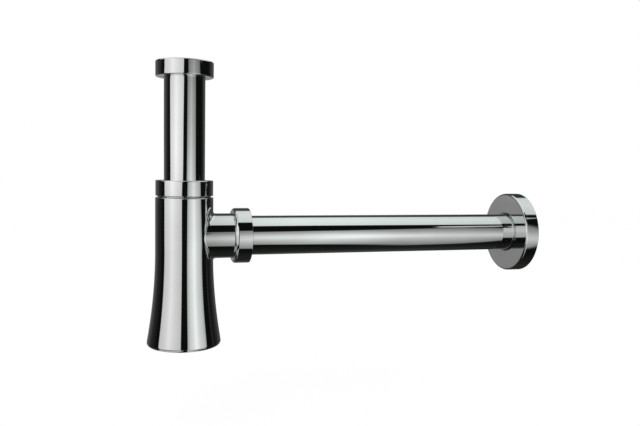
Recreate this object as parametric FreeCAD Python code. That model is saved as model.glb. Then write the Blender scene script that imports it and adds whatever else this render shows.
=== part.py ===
"""Washbasin bottle trap in chromed brass, with its seals and nuts as separate pieces.

All sizes are in millimetres. The origin is the centre of the inlet's sealing face, where the tail of
the basin waste lands on its washer. +Z runs up the inlet and +X runs along the outlet to the wall.
"""

import FreeCAD
import Part
import math
import os

Vector = FreeCAD.Vector

# Fits shared by several pieces
SLIDE_CLEARANCE = 0.3      # nuts, slip rings and flange around their tubes, radial
SEAL_CLEARANCE = 0.05      # rubber around its tube, radial
GUIDE_CLEARANCE = 0.4      # tube in the neck and pipe in the outlet branch, radial
THREAD_CLEARANCE = 0.15    # plain walls that stand for the two sides of a thread, radial
SEAT_CLEARANCE = 0.08      # rubber cone in its metal seat, radial
EDGE_ROUND = 0.5           # outer edges of the turned pieces
NUT_ROUND = 0.8            # edges of the inlet nut and the cap's top edge, which hands grip
FINE_ROUND = 0.3           # small edges that nobody grips

# Inlet tube, which reaches down into the water as the dip tube
TUBE_OD = 32.0
TUBE_WALL = 1.0
TUBE_SHOWN = 80.5          # bare tube between the inlet nut and the cap
COLLAR_WIDTH = 2.8         # turned-out rim at the tube's top, radial
COLLAR_THICKNESS = 1.2
DIP_GAP = 9.4              # between the dip end and the ring around the cleaning plug

# Inlet union nut for a 1 1/4 inch pipe thread, and its flat washer
COLLAR_CLEARANCE = 0.676   # collar to the crests of the thread, radial
INLET_THREAD_DEPTH = 1.479
INLET_THREAD_LENGTH = 5.5
INLET_NUT_WALL = 1.545
INLET_NUT_SHOULDER = 1.7
SWIVEL_GAP = 0.1           # collar to shoulder
WASHER_THICKNESS = 2.0
WASHER_LIP = 0.7           # washer caught behind the thread, radial
WASHER_INSET = 0.3         # washer's hole outside the tube's bore, radial

# Cap: the compression nut on the bottle's neck, with slip ring and taper seal
CAP_PLATE = 2.2
CAP_WALL = 1.35
SLIP_RING_THICKNESS = 1.5
SLIP_RING_GAP = 0.2        # slip ring inside its nut, radial
SEAL_PROUD = 1.0           # seal above the metal that it seats in
NECK_LENGTH = 8.8
NECK_LIP = 1.2             # metal outside the seat at the neck's mouth, radial
CAP_SEAT_WIDTH = 3.4       # conical seat, radial
CAP_SEAT_DEPTH = 5.0
SEAL_NOSE_GAP = 0.5        # below a seal's nose in its seat
SHADOW_GAP = 1.3           # open groove between the cap and the bottle

# Bottle
BODY_STEP = 0.2            # bottle outside the cap, radial
BODY_WALL = 1.7
BODY_HEIGHT = 118.0
FLARE_DROP = 74.3          # from the shoulder to the middle of the flare's bend
FLARE_BEND = 32.3          # tangent length of that bend
BASE_FLARE = 6.9           # growth of the radius down to the base
BASE_ROUND = 2.5
NECK_GUIDE = 3.0           # straight guide under the neck's seat

# Cleaning plug in the base
PLUG_THREAD_OD = 36.0
PLUG_BOSS_WALL = 2.5
PLUG_BOSS_HEIGHT = 8.0     # threaded ring above the recess
PLUG_FLANGE_WIDTH = 5.0    # radial
PLUG_FLANGE_THICKNESS = 2.3
PLUG_INSET = 0.3           # plug's face above the foot
PLUG_WALL = 3.3
PLUG_FLOOR = 3.5
PLUG_SLOT_LENGTH = 28.0
PLUG_SLOT_WIDTH = 2.6
PLUG_SLOT_DEPTH = 1.6
FLOOR_THICKNESS = 2.6
BASE_RING_SECTION = 2.1    # O-ring under the plug's flange
RING_SQUEEZE_ROOM = 0.2    # left around that O-ring, on the width of its pocket

# Outlet branch, its compression nut, slip ring and taper seal
OUTLET_DROP = 31.0         # from the shoulder to the outlet's axis
BRANCH_WALL = 1.6
BRANCH_REACH = 46.1        # end of the branch, from the bottle's axis
BRANCH_FILLET = 2.0
BRANCH_STOP = 25.0         # step that stops the pipe, from the bottle's axis
OUTLET_SEAT_WIDTH = 1.0
OUTLET_SEAT_DEPTH = 3.0
OUTLET_NUT_WALL = 4.15
OUTLET_NUT_SHOULDER = 2.9
OUTLET_NUT_SKIRT = 8.0     # nut over the branch
OUTLET_NUT_ROUND = 2.4     # its edge towards the bottle

# Outlet pipe
PIPE_OD = 32.0
PIPE_WALL = 1.0
PIPE_LENGTH = 285.0
PIPE_STOP_GAP = 5.5        # pipe's inner end to its stop
PIPE_DEBURR = 0.3
PIPE_TAIL = 12.0           # pipe behind the wall flange
MARK_OFFSET = 0.2          # insertion mark behind the flange
MARK_WIDTH = 0.8
MARK_DEPTH = 0.3

# Wall flange and the O-ring that holds it on the pipe
FLANGE_OD = 70.0
FLANGE_DEPTH = 12.5
FLANGE_PLATE = 2.0
FLANGE_RIM = 1.6
FLANGE_ROUND = 1.5         # front edge of the rim
FLANGE_INNER_ROUND = 0.6   # corners behind the plate
FLANGE_HUB_WALL = 3.2
FLANGE_HUB_LENGTH = 8.0
FLANGE_LEAD_IN = 0.8
FLANGE_RING_SECTION = 2.0
FLANGE_RING_POCKET = 2.4   # length of the O-ring's groove

# Radii around the inlet's axis
tube_r = TUBE_OD / 2
tube_bore_r = tube_r - TUBE_WALL
tube_hole_r = tube_r + SLIDE_CLEARANCE
collar_r = tube_r + COLLAR_WIDTH
inlet_thread_r = collar_r + COLLAR_CLEARANCE
inlet_relief_r = inlet_thread_r + INLET_THREAD_DEPTH + THREAD_CLEARANCE
inlet_nut_r = inlet_thread_r + INLET_THREAD_DEPTH + INLET_NUT_WALL
neck_bore_r = tube_r + GUIDE_CLEARANCE
cap_seat_r = neck_bore_r + CAP_SEAT_WIDTH
neck_r = cap_seat_r + NECK_LIP
cap_thread_r = neck_r + THREAD_CLEARANCE
cap_r = cap_thread_r + CAP_WALL
body_r = cap_r + BODY_STEP
body_bore_r = body_r - BODY_WALL
base_r = body_r + BASE_FLARE

# Heights on the inlet's axis, downwards from the sealing face
collar_top = -WASHER_THICKNESS
collar_low = collar_top - COLLAR_THICKNESS
inlet_shoulder_top = collar_low - SWIVEL_GAP
inlet_nut_low = inlet_shoulder_top - INLET_NUT_SHOULDER
inlet_mouth = INLET_THREAD_DEPTH + INLET_THREAD_LENGTH
cap_top = inlet_nut_low - TUBE_SHOWN
cap_plate_low = cap_top - CAP_PLATE
cap_ring_low = cap_plate_low - SLIP_RING_THICKNESS
neck_top = cap_ring_low - SEAL_PROUD
shoulder = neck_top - NECK_LENGTH
cap_low = shoulder + SHADOW_GAP
base = shoulder - BODY_HEIGHT
outlet_height = shoulder - OUTLET_DROP
flare_bend_height = shoulder - FLARE_DROP

# Base and cleaning plug
plug_hole_r = PLUG_THREAD_OD / 2
plug_r = plug_hole_r - THREAD_CLEARANCE
plug_flange_r = plug_hole_r + PLUG_FLANGE_WIDTH
recess_r = plug_flange_r + SLIDE_CLEARANCE
recess_top = base + PLUG_INSET + PLUG_FLANGE_THICKNESS
ring_pocket_r = plug_r + BASE_RING_SECTION + RING_SQUEEZE_ROOM
ring_pocket_top = recess_top + BASE_RING_SECTION + SEAL_CLEARANCE
boss_top = recess_top + PLUG_BOSS_HEIGHT
boss_r = plug_hole_r + PLUG_BOSS_WALL
floor_top = recess_top + FLOOR_THICKNESS
dip_end = boss_top + DIP_GAP
flare_slope = BASE_FLARE / (flare_bend_height - base)

# Radii and places on the outlet's axis, from the bottle's axis
pipe_r = PIPE_OD / 2
pipe_bore_r = pipe_r - PIPE_WALL
pipe_hole_r = pipe_r + SLIDE_CLEARANCE
branch_bore_r = pipe_r + GUIDE_CLEARANCE
branch_r = branch_bore_r + BRANCH_WALL
outlet_thread_r = branch_r + THREAD_CLEARANCE
outlet_nut_r = outlet_thread_r + OUTLET_NUT_WALL
outlet_ring_start = BRANCH_REACH + SEAL_PROUD
outlet_ring_end = outlet_ring_start + SLIP_RING_THICKNESS
outlet_nut_end = outlet_ring_end + OUTLET_NUT_SHOULDER
outlet_nut_start = BRANCH_REACH - OUTLET_NUT_SKIRT
pipe_start = BRANCH_STOP + PIPE_STOP_GAP
pipe_end = pipe_start + PIPE_LENGTH
flange_back = pipe_end - PIPE_TAIL
flange_front = flange_back - FLANGE_DEPTH


def outline(corners):
    """Closed wire through (radius, height, rounding) corners; a rounding above zero is a tangent arc."""
    spots = [Vector(radius, 0, height) for radius, height, _ in corners]
    bends = []
    for index, (_, _, rounding) in enumerate(corners):
        here = spots[index]
        back = (spots[index - 1] - here).normalize()
        ahead = (spots[(index + 1) % len(spots)] - here).normalize()
        if rounding == 0:
            bends.append((here, None, here))
            continue
        half = back.getAngle(ahead) / 2
        reach = rounding / math.tan(half)
        inward = (back + ahead).normalize()
        middle = here + inward * (rounding / math.sin(half) - rounding)
        bends.append((here + back * reach, middle, here + ahead * reach))
    edges = []
    for index, (first, middle, last) in enumerate(bends):
        if middle:
            edges.append(Part.Arc(first, middle, last).toShape())
        edges.append(Part.LineSegment(last, bends[(index + 1) % len(bends)][0]).toShape())
    return Part.Wire(edges)


def turned(corners):
    """Solid turned about the Z axis from an outline, with its seam on the -X side."""
    solid = Part.Face(outline(corners)).revolve(Vector(0, 0, 0), Vector(0, 0, 1), 360)
    solid.rotate(Vector(0, 0, 0), Vector(0, 0, 1), 180)
    return solid


def on_outlet(solid):
    """Lays a solid that was turned about Z along the outlet, so that its height becomes X."""
    solid.rotate(Vector(0, 0, 0), Vector(0, 1, 0), 90)
    solid.translate(Vector(0, 0, outlet_height))
    return solid


def plain_ring(inner_r, outer_r, low, high, rounding=0.0):
    """Corners of a flat ring's section, with the two outer edges rounded."""
    return [
        (inner_r, low, 0),
        (outer_r, low, rounding),
        (outer_r, high, rounding),
        (inner_r, high, 0),
    ]


def inlet_nut():
    """Smooth union nut: shoulder under the collar, relief for the washer, thread bore and mouth."""
    mouth_r = inlet_thread_r + INLET_THREAD_DEPTH
    return turned([
        (tube_hole_r, inlet_nut_low, FINE_ROUND),
        (inlet_nut_r, inlet_nut_low, NUT_ROUND),
        (inlet_nut_r, inlet_mouth, NUT_ROUND),
        (mouth_r, inlet_mouth, 0),
        (inlet_thread_r, INLET_THREAD_LENGTH, 0),
        (inlet_thread_r, 0, 0),
        (inlet_relief_r, 0, 0),
        (inlet_relief_r, inlet_shoulder_top, 0),
        (tube_hole_r, inlet_shoulder_top, 0),
    ])


def inlet_washer():
    """Flat rubber washer on the collar, caught behind the thread so that the nut stays up."""
    return turned(plain_ring(tube_bore_r + WASHER_INSET, inlet_thread_r + WASHER_LIP, collar_top, 0))


def inlet_tube():
    """Straight tube with a turned-out collar at its top."""
    return turned([
        (tube_bore_r, dip_end, 0),
        (tube_r, dip_end, FINE_ROUND),
        (tube_r, collar_low, FINE_ROUND),
        (collar_r, collar_low, FINE_ROUND),
        (collar_r, collar_top, FINE_ROUND),
        (tube_bore_r, collar_top, 0),
    ])


def cap_nut():
    """Cap on the bottle's neck: a plate around the tube and a threaded skirt."""
    return turned([
        (tube_hole_r, cap_top, FINE_ROUND),
        (tube_hole_r, cap_plate_low, 0),
        (cap_thread_r, cap_plate_low, 0),
        (cap_thread_r, cap_low, FINE_ROUND),
        (cap_r, cap_low, EDGE_ROUND),
        (cap_r, cap_top, NUT_ROUND),
    ])


def cap_slip_ring():
    """Nylon ring between the cap's plate and the seal, so that turning the cap doesn't twist the seal."""
    return turned(plain_ring(tube_hole_r, cap_thread_r - SLIP_RING_GAP, cap_ring_low, cap_plate_low))


def cap_seal():
    """Rubber taper ring between the inlet tube and the neck's seat."""
    nose = neck_top - CAP_SEAT_DEPTH + SEAL_NOSE_GAP
    nose_r = neck_bore_r + CAP_SEAT_WIDTH * SEAL_NOSE_GAP / CAP_SEAT_DEPTH - SEAT_CLEARANCE
    lip_r = cap_seat_r - SEAT_CLEARANCE
    return turned([
        (tube_r + SEAL_CLEARANCE, nose, 0),
        (nose_r, nose, 0),
        (lip_r, neck_top, 0),
        (lip_r, cap_ring_low, 0),
        (tube_r + SEAL_CLEARANCE, cap_ring_low, 0),
    ])


def bottle_inside():
    """Corners up the bottle's inner wall, from the floor to the guide in the neck."""
    slope_turn = math.atan(flare_slope)
    bend_r = FLARE_BEND / math.tan(slope_turn / 2)
    guide_low = neck_top - CAP_SEAT_DEPTH - NECK_GUIDE
    return [
        (body_bore_r + (flare_bend_height - floor_top) * flare_slope, floor_top, BODY_WALL),
        (body_bore_r, flare_bend_height, bend_r),
        (body_bore_r, guide_low - (body_bore_r - neck_bore_r), 0),
        (neck_bore_r, guide_low, 0),
    ]


def bottle_shell():
    """Turned bottle without its branch: neck, straight wall, flared foot and threaded base."""
    slope_turn = math.atan(flare_slope)
    bend_r = FLARE_BEND / math.tan(slope_turn / 2)
    outside = [
        (cap_seat_r, neck_top, 0),
        (neck_r, neck_top, EDGE_ROUND),
        (neck_r, shoulder, 0),
        (body_r, shoulder, EDGE_ROUND),
        (body_r, flare_bend_height, bend_r),
        (base_r, base, BASE_ROUND),
        (recess_r, base, FINE_ROUND),
        (recess_r, recess_top, 0),
    ]
    plug_opening = [
        (ring_pocket_r, recess_top, 0),
        (ring_pocket_r, ring_pocket_top, 0),
        (plug_hole_r, ring_pocket_top, 0),
        (plug_hole_r, boss_top, FINE_ROUND),
        (boss_r, boss_top, FINE_ROUND),
        (boss_r, floor_top, FINE_ROUND),
    ]
    seat = [(neck_bore_r, neck_top - CAP_SEAT_DEPTH, 0)]
    return turned(outside + plug_opening + bottle_inside() + seat)


def branch_saddle(body):
    """Edges where the branch's outside meets the bottle's outside."""
    slack = 1e-3
    found = []
    for edge in body.Edges:
        spots = edge.discretize(7)
        from_outlet = [math.hypot(spot.y, spot.z - outlet_height) for spot in spots]
        from_bottle = [math.hypot(spot.x, spot.y) for spot in spots]
        on_branch = all(abs(distance - branch_r) < slack for distance in from_outlet)
        on_bottle = min(from_bottle) > body_r - slack and max(from_bottle) < base_r
        if on_branch and on_bottle:
            found.append(edge)
    return found


def bottle_body():
    """One-piece bottle with its outlet branch, bored for the pipe and filleted at the joint."""
    hollow = turned([(0, floor_top, 0)] + bottle_inside() + [(0, bottle_inside()[-1][1], 0)])
    branch = on_outlet(turned([
        (0, 0, 0),
        (branch_r, 0, 0),
        (branch_r, BRANCH_REACH, FINE_ROUND),
        (0, BRANCH_REACH, 0),
    ]))
    body = bottle_shell().fuse(branch.cut(hollow)).removeSplitter()
    body = body.makeFillet(BRANCH_FILLET, branch_saddle(body))
    waterway = on_outlet(turned([
        (0, 0, 0),
        (pipe_bore_r, 0, 0),
        (pipe_bore_r, BRANCH_STOP, 0),
        (branch_bore_r, BRANCH_STOP, 0),
        (branch_bore_r, BRANCH_REACH - OUTLET_SEAT_DEPTH, 0),
        (branch_bore_r + OUTLET_SEAT_WIDTH, BRANCH_REACH, 0),
        (0, BRANCH_REACH, 0),
    ]))
    return body.cut(waterway)


def base_plug():
    """Hollow screw plug with a coin slot, flush inside the foot."""
    low = base + PLUG_INSET
    plug = turned([
        (0, low, 0),
        (plug_flange_r, low, EDGE_ROUND),
        (plug_flange_r, recess_top, FINE_ROUND),
        (plug_r, recess_top, 0),
        (plug_r, boss_top - SLIDE_CLEARANCE, EDGE_ROUND),
        (plug_r - PLUG_WALL, boss_top - SLIDE_CLEARANCE, FINE_ROUND),
        (plug_r - PLUG_WALL, low + PLUG_FLOOR, FINE_ROUND),
        (0, low + PLUG_FLOOR, 0),
    ])
    corner = Vector(-PLUG_SLOT_LENGTH / 2, -PLUG_SLOT_WIDTH / 2, low)
    slot = Part.makeBox(PLUG_SLOT_LENGTH, PLUG_SLOT_WIDTH, PLUG_SLOT_DEPTH, corner)
    return plug.cut(slot)


def base_ring():
    """O-ring around the plug, in the pocket above its flange."""
    section_r = BASE_RING_SECTION / 2
    centre_r = (plug_r + ring_pocket_r) / 2
    return Part.makeTorus(centre_r, section_r, Vector(0, 0, (recess_top + ring_pocket_top) / 2))


def outlet_nut():
    """Compression nut on the branch, with its shoulder around the pipe."""
    return on_outlet(turned([
        (pipe_hole_r, outlet_ring_end, 0),
        (pipe_hole_r, outlet_nut_end, FINE_ROUND),
        (outlet_nut_r, outlet_nut_end, EDGE_ROUND),
        (outlet_nut_r, outlet_nut_start, OUTLET_NUT_ROUND),
        (outlet_thread_r, outlet_nut_start, FINE_ROUND),
        (outlet_thread_r, outlet_ring_end, 0),
    ]))


def outlet_slip_ring():
    """Nylon ring between the outlet nut's shoulder and the seal."""
    outer_r = outlet_thread_r - SLIP_RING_GAP
    return on_outlet(turned(plain_ring(pipe_hole_r, outer_r, outlet_ring_start, outlet_ring_end)))


def outlet_seal():
    """Rubber ring around the pipe, with a tapered nose in the branch's mouth."""
    nose = BRANCH_REACH - OUTLET_SEAT_DEPTH + SEAL_NOSE_GAP
    nose_r = branch_bore_r + OUTLET_SEAT_WIDTH * SEAL_NOSE_GAP / OUTLET_SEAT_DEPTH - SEAT_CLEARANCE
    return on_outlet(turned([
        (pipe_r + SEAL_CLEARANCE, nose, 0),
        (nose_r, nose, 0),
        (branch_bore_r + OUTLET_SEAT_WIDTH - SEAT_CLEARANCE, BRANCH_REACH, 0),
        (outlet_thread_r - SLIP_RING_GAP, BRANCH_REACH, 0),
        (outlet_thread_r - SLIP_RING_GAP, outlet_ring_start, 0),
        (pipe_r + SEAL_CLEARANCE, outlet_ring_start, 0),
    ]))


def outlet_pipe():
    """Wall pipe with deburred ends and a scribed insertion mark just behind the flange."""
    mark = flange_back + MARK_OFFSET
    return on_outlet(turned([
        (pipe_bore_r, pipe_start, 0),
        (pipe_r, pipe_start, PIPE_DEBURR),
        (pipe_r, mark, 0),
        (pipe_r - MARK_DEPTH, mark, 0),
        (pipe_r - MARK_DEPTH, mark + MARK_WIDTH, 0),
        (pipe_r, mark + MARK_WIDTH, 0),
        (pipe_r, pipe_end, PIPE_DEBURR),
        (pipe_bore_r, pipe_end, 0),
    ]))


def wall_flange():
    """Turned wall flange, hollow behind, with a hub that holds the O-ring."""
    outer_r = FLANGE_OD / 2
    hub_r = pipe_hole_r + FLANGE_HUB_WALL
    pocket_r = pipe_r + SEAL_CLEARANCE + FLANGE_RING_SECTION + SEAL_CLEARANCE
    hub_end = flange_front + FLANGE_HUB_LENGTH
    pocket_start = flange_front + (FLANGE_HUB_LENGTH - FLANGE_RING_POCKET) / 2
    pocket_end = pocket_start + FLANGE_RING_POCKET
    return on_outlet(turned([
        (pipe_hole_r + FLANGE_LEAD_IN, flange_front, 0),
        (outer_r, flange_front, FLANGE_ROUND),
        (outer_r, flange_back, FINE_ROUND),
        (outer_r - FLANGE_RIM, flange_back, 0),
        (outer_r - FLANGE_RIM, flange_front + FLANGE_PLATE, FLANGE_INNER_ROUND),
        (hub_r, flange_front + FLANGE_PLATE, FLANGE_INNER_ROUND),
        (hub_r, hub_end, FINE_ROUND),
        (pipe_hole_r, hub_end, FINE_ROUND),
        (pipe_hole_r, pocket_end, 0),
        (pocket_r, pocket_end, 0),
        (pocket_r, pocket_start, 0),
        (pipe_hole_r, pocket_start, 0),
        (pipe_hole_r, flange_front + FLANGE_LEAD_IN, 0),
    ]))


def flange_ring():
    """O-ring inside the flange's hub, gripping the pipe."""
    section_r = FLANGE_RING_SECTION / 2
    centre_r = pipe_r + SEAL_CLEARANCE + section_r
    middle = flange_front + FLANGE_HUB_LENGTH / 2
    return on_outlet(Part.makeTorus(centre_r, section_r, Vector(0, 0, middle)))


PIECES = (
    inlet_nut,
    inlet_washer,
    inlet_tube,
    cap_nut,
    cap_slip_ring,
    cap_seal,
    bottle_body,
    base_plug,
    base_ring,
    outlet_nut,
    outlet_slip_ring,
    outlet_seal,
    outlet_pipe,
    wall_flange,
    flange_ring,
)


def main():
    """Builds each piece and writes it to parts/ under its own name."""
    os.makedirs("parts", exist_ok=True)
    for piece in PIECES:
        solid = piece()
        solid.exportStep(os.path.join("parts", piece.__name__ + ".step"))
        print(piece.__name__, "solids", len(solid.Solids), "volume", round(solid.Volume), "mm3", solid.isValid())


main()
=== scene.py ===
"""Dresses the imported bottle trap: polished chrome, bare brass bores, black rubber and natural nylon.

Sizes in the classes are millimetres, as on a workshop drawing, and become metres in the meshes. The frame is
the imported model's own: origin on the inlet's sealing face, +Z up the inlet, +X along the outlet to the wall.
"""

import logging
import math
from dataclasses import dataclass, field
from enum import Enum
from typing import Callable

import bmesh
import bpy
import numpy as np
from mathutils import Matrix, Vector


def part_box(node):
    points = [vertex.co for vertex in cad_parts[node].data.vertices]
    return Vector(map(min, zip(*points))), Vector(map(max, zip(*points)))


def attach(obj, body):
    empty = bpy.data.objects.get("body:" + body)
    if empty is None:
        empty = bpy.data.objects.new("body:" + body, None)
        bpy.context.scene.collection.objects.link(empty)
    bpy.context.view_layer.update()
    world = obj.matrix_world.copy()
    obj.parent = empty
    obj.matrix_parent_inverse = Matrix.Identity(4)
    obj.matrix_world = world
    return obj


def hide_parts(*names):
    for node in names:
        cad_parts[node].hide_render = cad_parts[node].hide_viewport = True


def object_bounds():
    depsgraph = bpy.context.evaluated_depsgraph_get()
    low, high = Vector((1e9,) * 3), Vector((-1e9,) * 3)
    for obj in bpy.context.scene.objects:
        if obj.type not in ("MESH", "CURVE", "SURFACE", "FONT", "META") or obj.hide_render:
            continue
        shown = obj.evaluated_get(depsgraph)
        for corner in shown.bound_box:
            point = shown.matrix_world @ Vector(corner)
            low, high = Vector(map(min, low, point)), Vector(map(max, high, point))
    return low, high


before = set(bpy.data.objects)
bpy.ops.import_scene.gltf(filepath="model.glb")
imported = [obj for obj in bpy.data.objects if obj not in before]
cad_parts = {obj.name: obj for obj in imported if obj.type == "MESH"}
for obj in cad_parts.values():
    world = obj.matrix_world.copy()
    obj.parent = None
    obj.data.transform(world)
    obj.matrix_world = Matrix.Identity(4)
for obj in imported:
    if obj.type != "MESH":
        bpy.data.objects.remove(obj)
CAD_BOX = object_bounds()

LOG = logging.getLogger("bottle_trap")
MM = 0.001
TURN = 2.0 * math.pi
ARC_STEPS = 8              # facets in a rounded edge
CORD_STEPS = 48            # facets in an O-ring's section
SUPPORT = 0.03             # mm from an edge to the ring that keeps the flat beside it flat
SHORT_WALL = 3 * SUPPORT   # mm below which a wall has no such rings
WELD = 1e-4                # mm within which two points are one
ON_WALL = 10 * WELD        # mm within which a point counts as on a wall
PROBE = 0.01               # mm up and down over which a wall's slope is taken
COLUMNS = 256              # points around a turned piece
TUBE_RADIUS = 16.0         # mm, of the standard tube and pipe
TRAITS = ("bare", "edge", "along")
WHITE = (1.0, 1.0, 1.0, 1.0)

Colour = tuple[float, float, float, float]
Span = tuple[float, float]
Curve = tuple[Span, ...]
Feed = bpy.types.NodeSocket | float | Colour
Places = np.ndarray | float
Loop = tuple[np.ndarray, np.ndarray]      # turns and heights of a closed curve on a wall


class Axis(Enum):
    """The two lines that pieces are turned about."""

    INLET = "z"
    OUTLET = "x"


class Slot(Enum):
    """The record's material slots."""

    TURNED = "chrome"
    TUBE = "chrome_tube"
    BODY = "chrome_body"
    RUBBER = "rubber"
    NYLON = "nylon"


@dataclass(frozen=True)
class Fits:
    """Clearances and edge rounds shared by several pieces, in millimetres."""

    slide: float = 0.3
    seal: float = 0.05
    seat: float = 0.08
    edge: float = 0.5
    fine: float = 0.3


FITS = Fits()


@dataclass(frozen=True)
class Envelope:
    """Outer radius and the two ends of a turned node along its axis, in millimetres."""

    radius: float
    low: float
    high: float

    @classmethod
    def of(cls, node: str, axis: Axis = Axis.INLET) -> "Envelope":
        """Reads a node's envelope from the frame.

        Args:
            node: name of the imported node.
            axis: line that the node is turned about.

        Returns:
            The node's radius and ends.
        """
        low, high = (np.array(corner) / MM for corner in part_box(node))
        along = 2 if axis is Axis.INLET else 0
        return cls(float(high[1] - low[1]) / 2, float(low[along]), float(high[along]))


OUTLET_HEIGHT = float(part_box("outlet_pipe")[0][2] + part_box("outlet_pipe")[1][2]) / 2 / MM


@dataclass(frozen=True)
class Thread:
    """A right-hand thread on a straight wall; a positive cut goes outwards from the wall, as in a nut."""

    pitch: float
    cut: float
    crest: float = 0.15    # share of half a pitch that stays at the wall
    flank: float = 0.7     # share of half a pitch that the slope takes
    fade: float = 0.5      # pitches over which it fades out at both ends
    rings_per_pitch: int = 10
    least_rings: int = 8

    def rings(self, length: float) -> int:
        """Rings of points along a threaded wall of some length."""
        return max(self.least_rings, int(length / self.pitch * self.rings_per_pitch))

    def depth(self, height: np.ndarray, turn: np.ndarray, ends: Span) -> np.ndarray:
        """Radial offset of the wall: a trapezoid wave along the helix that fades out towards its ends.

        Args:
            height: place along the axis.
            turn: turns around the axis, in the sense of a right-hand screw.
            ends: lower and upper end of the threaded wall.

        Returns:
            Offset in millimetres, in the shape that height and turn broadcast to.
        """
        phase = np.abs(2.0 * np.mod(height / self.pitch - turn, 1.0) - 1.0)
        wave = np.clip((phase - self.crest) / self.flank, 0.0, 1.0)
        fade = np.minimum(height - ends[0], ends[1] - height) / (self.fade * self.pitch)
        return self.cut * wave * np.clip(fade, 0.0, 1.0)


@dataclass(frozen=True)
class Corner:
    """A corner of a turned outline, and how the straight wall from it to the next corner is finished."""

    radius: float
    height: float
    rounding: float = 0.0
    bare: bool = False
    thread: Thread | None = None


def swept(first: np.ndarray, last: np.ndarray, sweep: Places, part: np.ndarray) -> np.ndarray:
    """Spokes of an arc between two spokes of one length, each weighted by the sine of the angle to the other.

    Args:
        first: spoke where the arc starts.
        last: spoke where it ends.
        sweep: angle between them, in radians.
        part: shares of the sweep.

    Returns:
        A spoke for each share.
    """
    return (first * np.sin((1 - part) * sweep) + last * np.sin(part * sweep)) / np.sin(sweep)


@dataclass
class Outline:
    """Points of a turned piece's section in order, gathered from corners and from free curves."""

    radius: list[np.ndarray] = field(default_factory=list)
    height: list[np.ndarray] = field(default_factory=list)
    bare: list[np.ndarray] = field(default_factory=list)
    edge: list[np.ndarray] = field(default_factory=list)
    threads: list[tuple[int, int, Thread, Span]] = field(default_factory=list)

    def __len__(self) -> int:
        """Number of points so far."""
        return sum(len(part) for part in self.radius)

    def add(self, radius: np.ndarray, height: np.ndarray, bare: float = 0.0, edge: float = 0.0) -> None:
        """Appends a curve's points, with one finish for all of them.

        Args:
            radius: distances from the axis.
            height: places along the axis.
            bare: 1 where the metal is unplated.
            edge: 1 on a rounded edge.
        """
        self.radius.append(np.atleast_1d(np.asarray(radius, float)))
        self.height.append(np.atleast_1d(np.asarray(height, float)))
        self.bare.append(np.full(len(self.radius[-1]), float(bare)))
        self.edge.append(np.full(len(self.radius[-1]), float(edge)))

    def follow(self, corners: list[Corner], closed: bool = True) -> "Outline":
        """Appends a run of corners: arcs at the rounded ones, and walls with a close ring at both ends.

        Args:
            corners: the corners in order.
            closed: whether the last wall leads back to the first corner.

        Returns:
            This outline.
        """
        spots = np.array([(corner.radius, corner.height) for corner in corners])
        count = len(corners)
        bends = []
        for index, corner in enumerate(corners):
            inner = closed or 0 < index < count - 1
            bends.append(self._bend(spots, index, corner.rounding if inner else 0.0))
        for index, corner in enumerate(corners):
            before = corners[index - 1] if closed or index else corner
            arc = bends[index]
            self.add(arc[:, 0], arc[:, 1], min(corner.bare, before.bare), float(len(arc) > 1))
            if index == count - 1 and not closed:
                break
            self._wall(arc[-1], bends[(index + 1) % count][0], corner)
        return self

    @staticmethod
    def _bend(spots: np.ndarray, index: int, rounding: float) -> np.ndarray:
        """Points of the tangent arc at one corner, or the corner itself.

        Args:
            spots: all corners.
            index: which corner.
            rounding: radius of the arc.

        Returns:
            Array of points, from the wall before to the wall after.
        """
        here = spots[index]
        if rounding <= 0.0:
            return here[None]
        back = spots[index - 1] - here
        ahead = spots[(index + 1) % len(spots)] - here
        back = back / np.linalg.norm(back)
        ahead = ahead / np.linalg.norm(ahead)
        half = math.acos(float(np.clip(back @ ahead, -1.0, 1.0))) / 2
        inward = (back + ahead) / np.linalg.norm(back + ahead)
        centre = here + inward * rounding / math.sin(half)
        first = here + back * rounding / math.tan(half) - centre
        last = here + ahead * rounding / math.tan(half) - centre
        sweep = math.pi - 2 * half
        part = np.linspace(0.0, 1.0, ARC_STEPS + 1)[:, None]
        return centre + swept(first, last, sweep, part)

    def _wall(self, first: np.ndarray, last: np.ndarray, corner: Corner) -> None:
        """Appends the inside of a straight wall: a close ring at each end, and fine rings along a thread.

        Args:
            first: point where the wall starts.
            last: point where it ends.
            corner: the corner that it starts from, which holds its finish.
        """
        length = float(np.linalg.norm(last - first))
        if length < SHORT_WALL:
            return
        places = np.array([SUPPORT, length - SUPPORT]) / length
        if corner.thread:
            steps = corner.thread.rings(length)
            places = np.linspace(places[0], places[1], steps)
            low, high = sorted((float(first[1]), float(last[1])))
            self.threads.append((len(self), len(self) + steps, corner.thread, (low, high)))
        spots = first + (last - first) * places[:, None]
        self.add(spots[:, 0], spots[:, 1], float(corner.bare))

    def arrays(self) -> tuple[np.ndarray, np.ndarray, np.ndarray]:
        """All points as arrays.

        Returns:
            Radii, heights, and traits in the order of TRAITS.
        """
        radius, height = np.concatenate(self.radius), np.concatenate(self.height)
        steps = np.hypot(np.diff(radius, prepend=radius[0]), np.diff(height, prepend=height[0]))
        traits = np.stack([np.concatenate(self.bare), np.concatenate(self.edge), np.cumsum(steps)], axis=-1)
        return radius, height, traits


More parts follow.
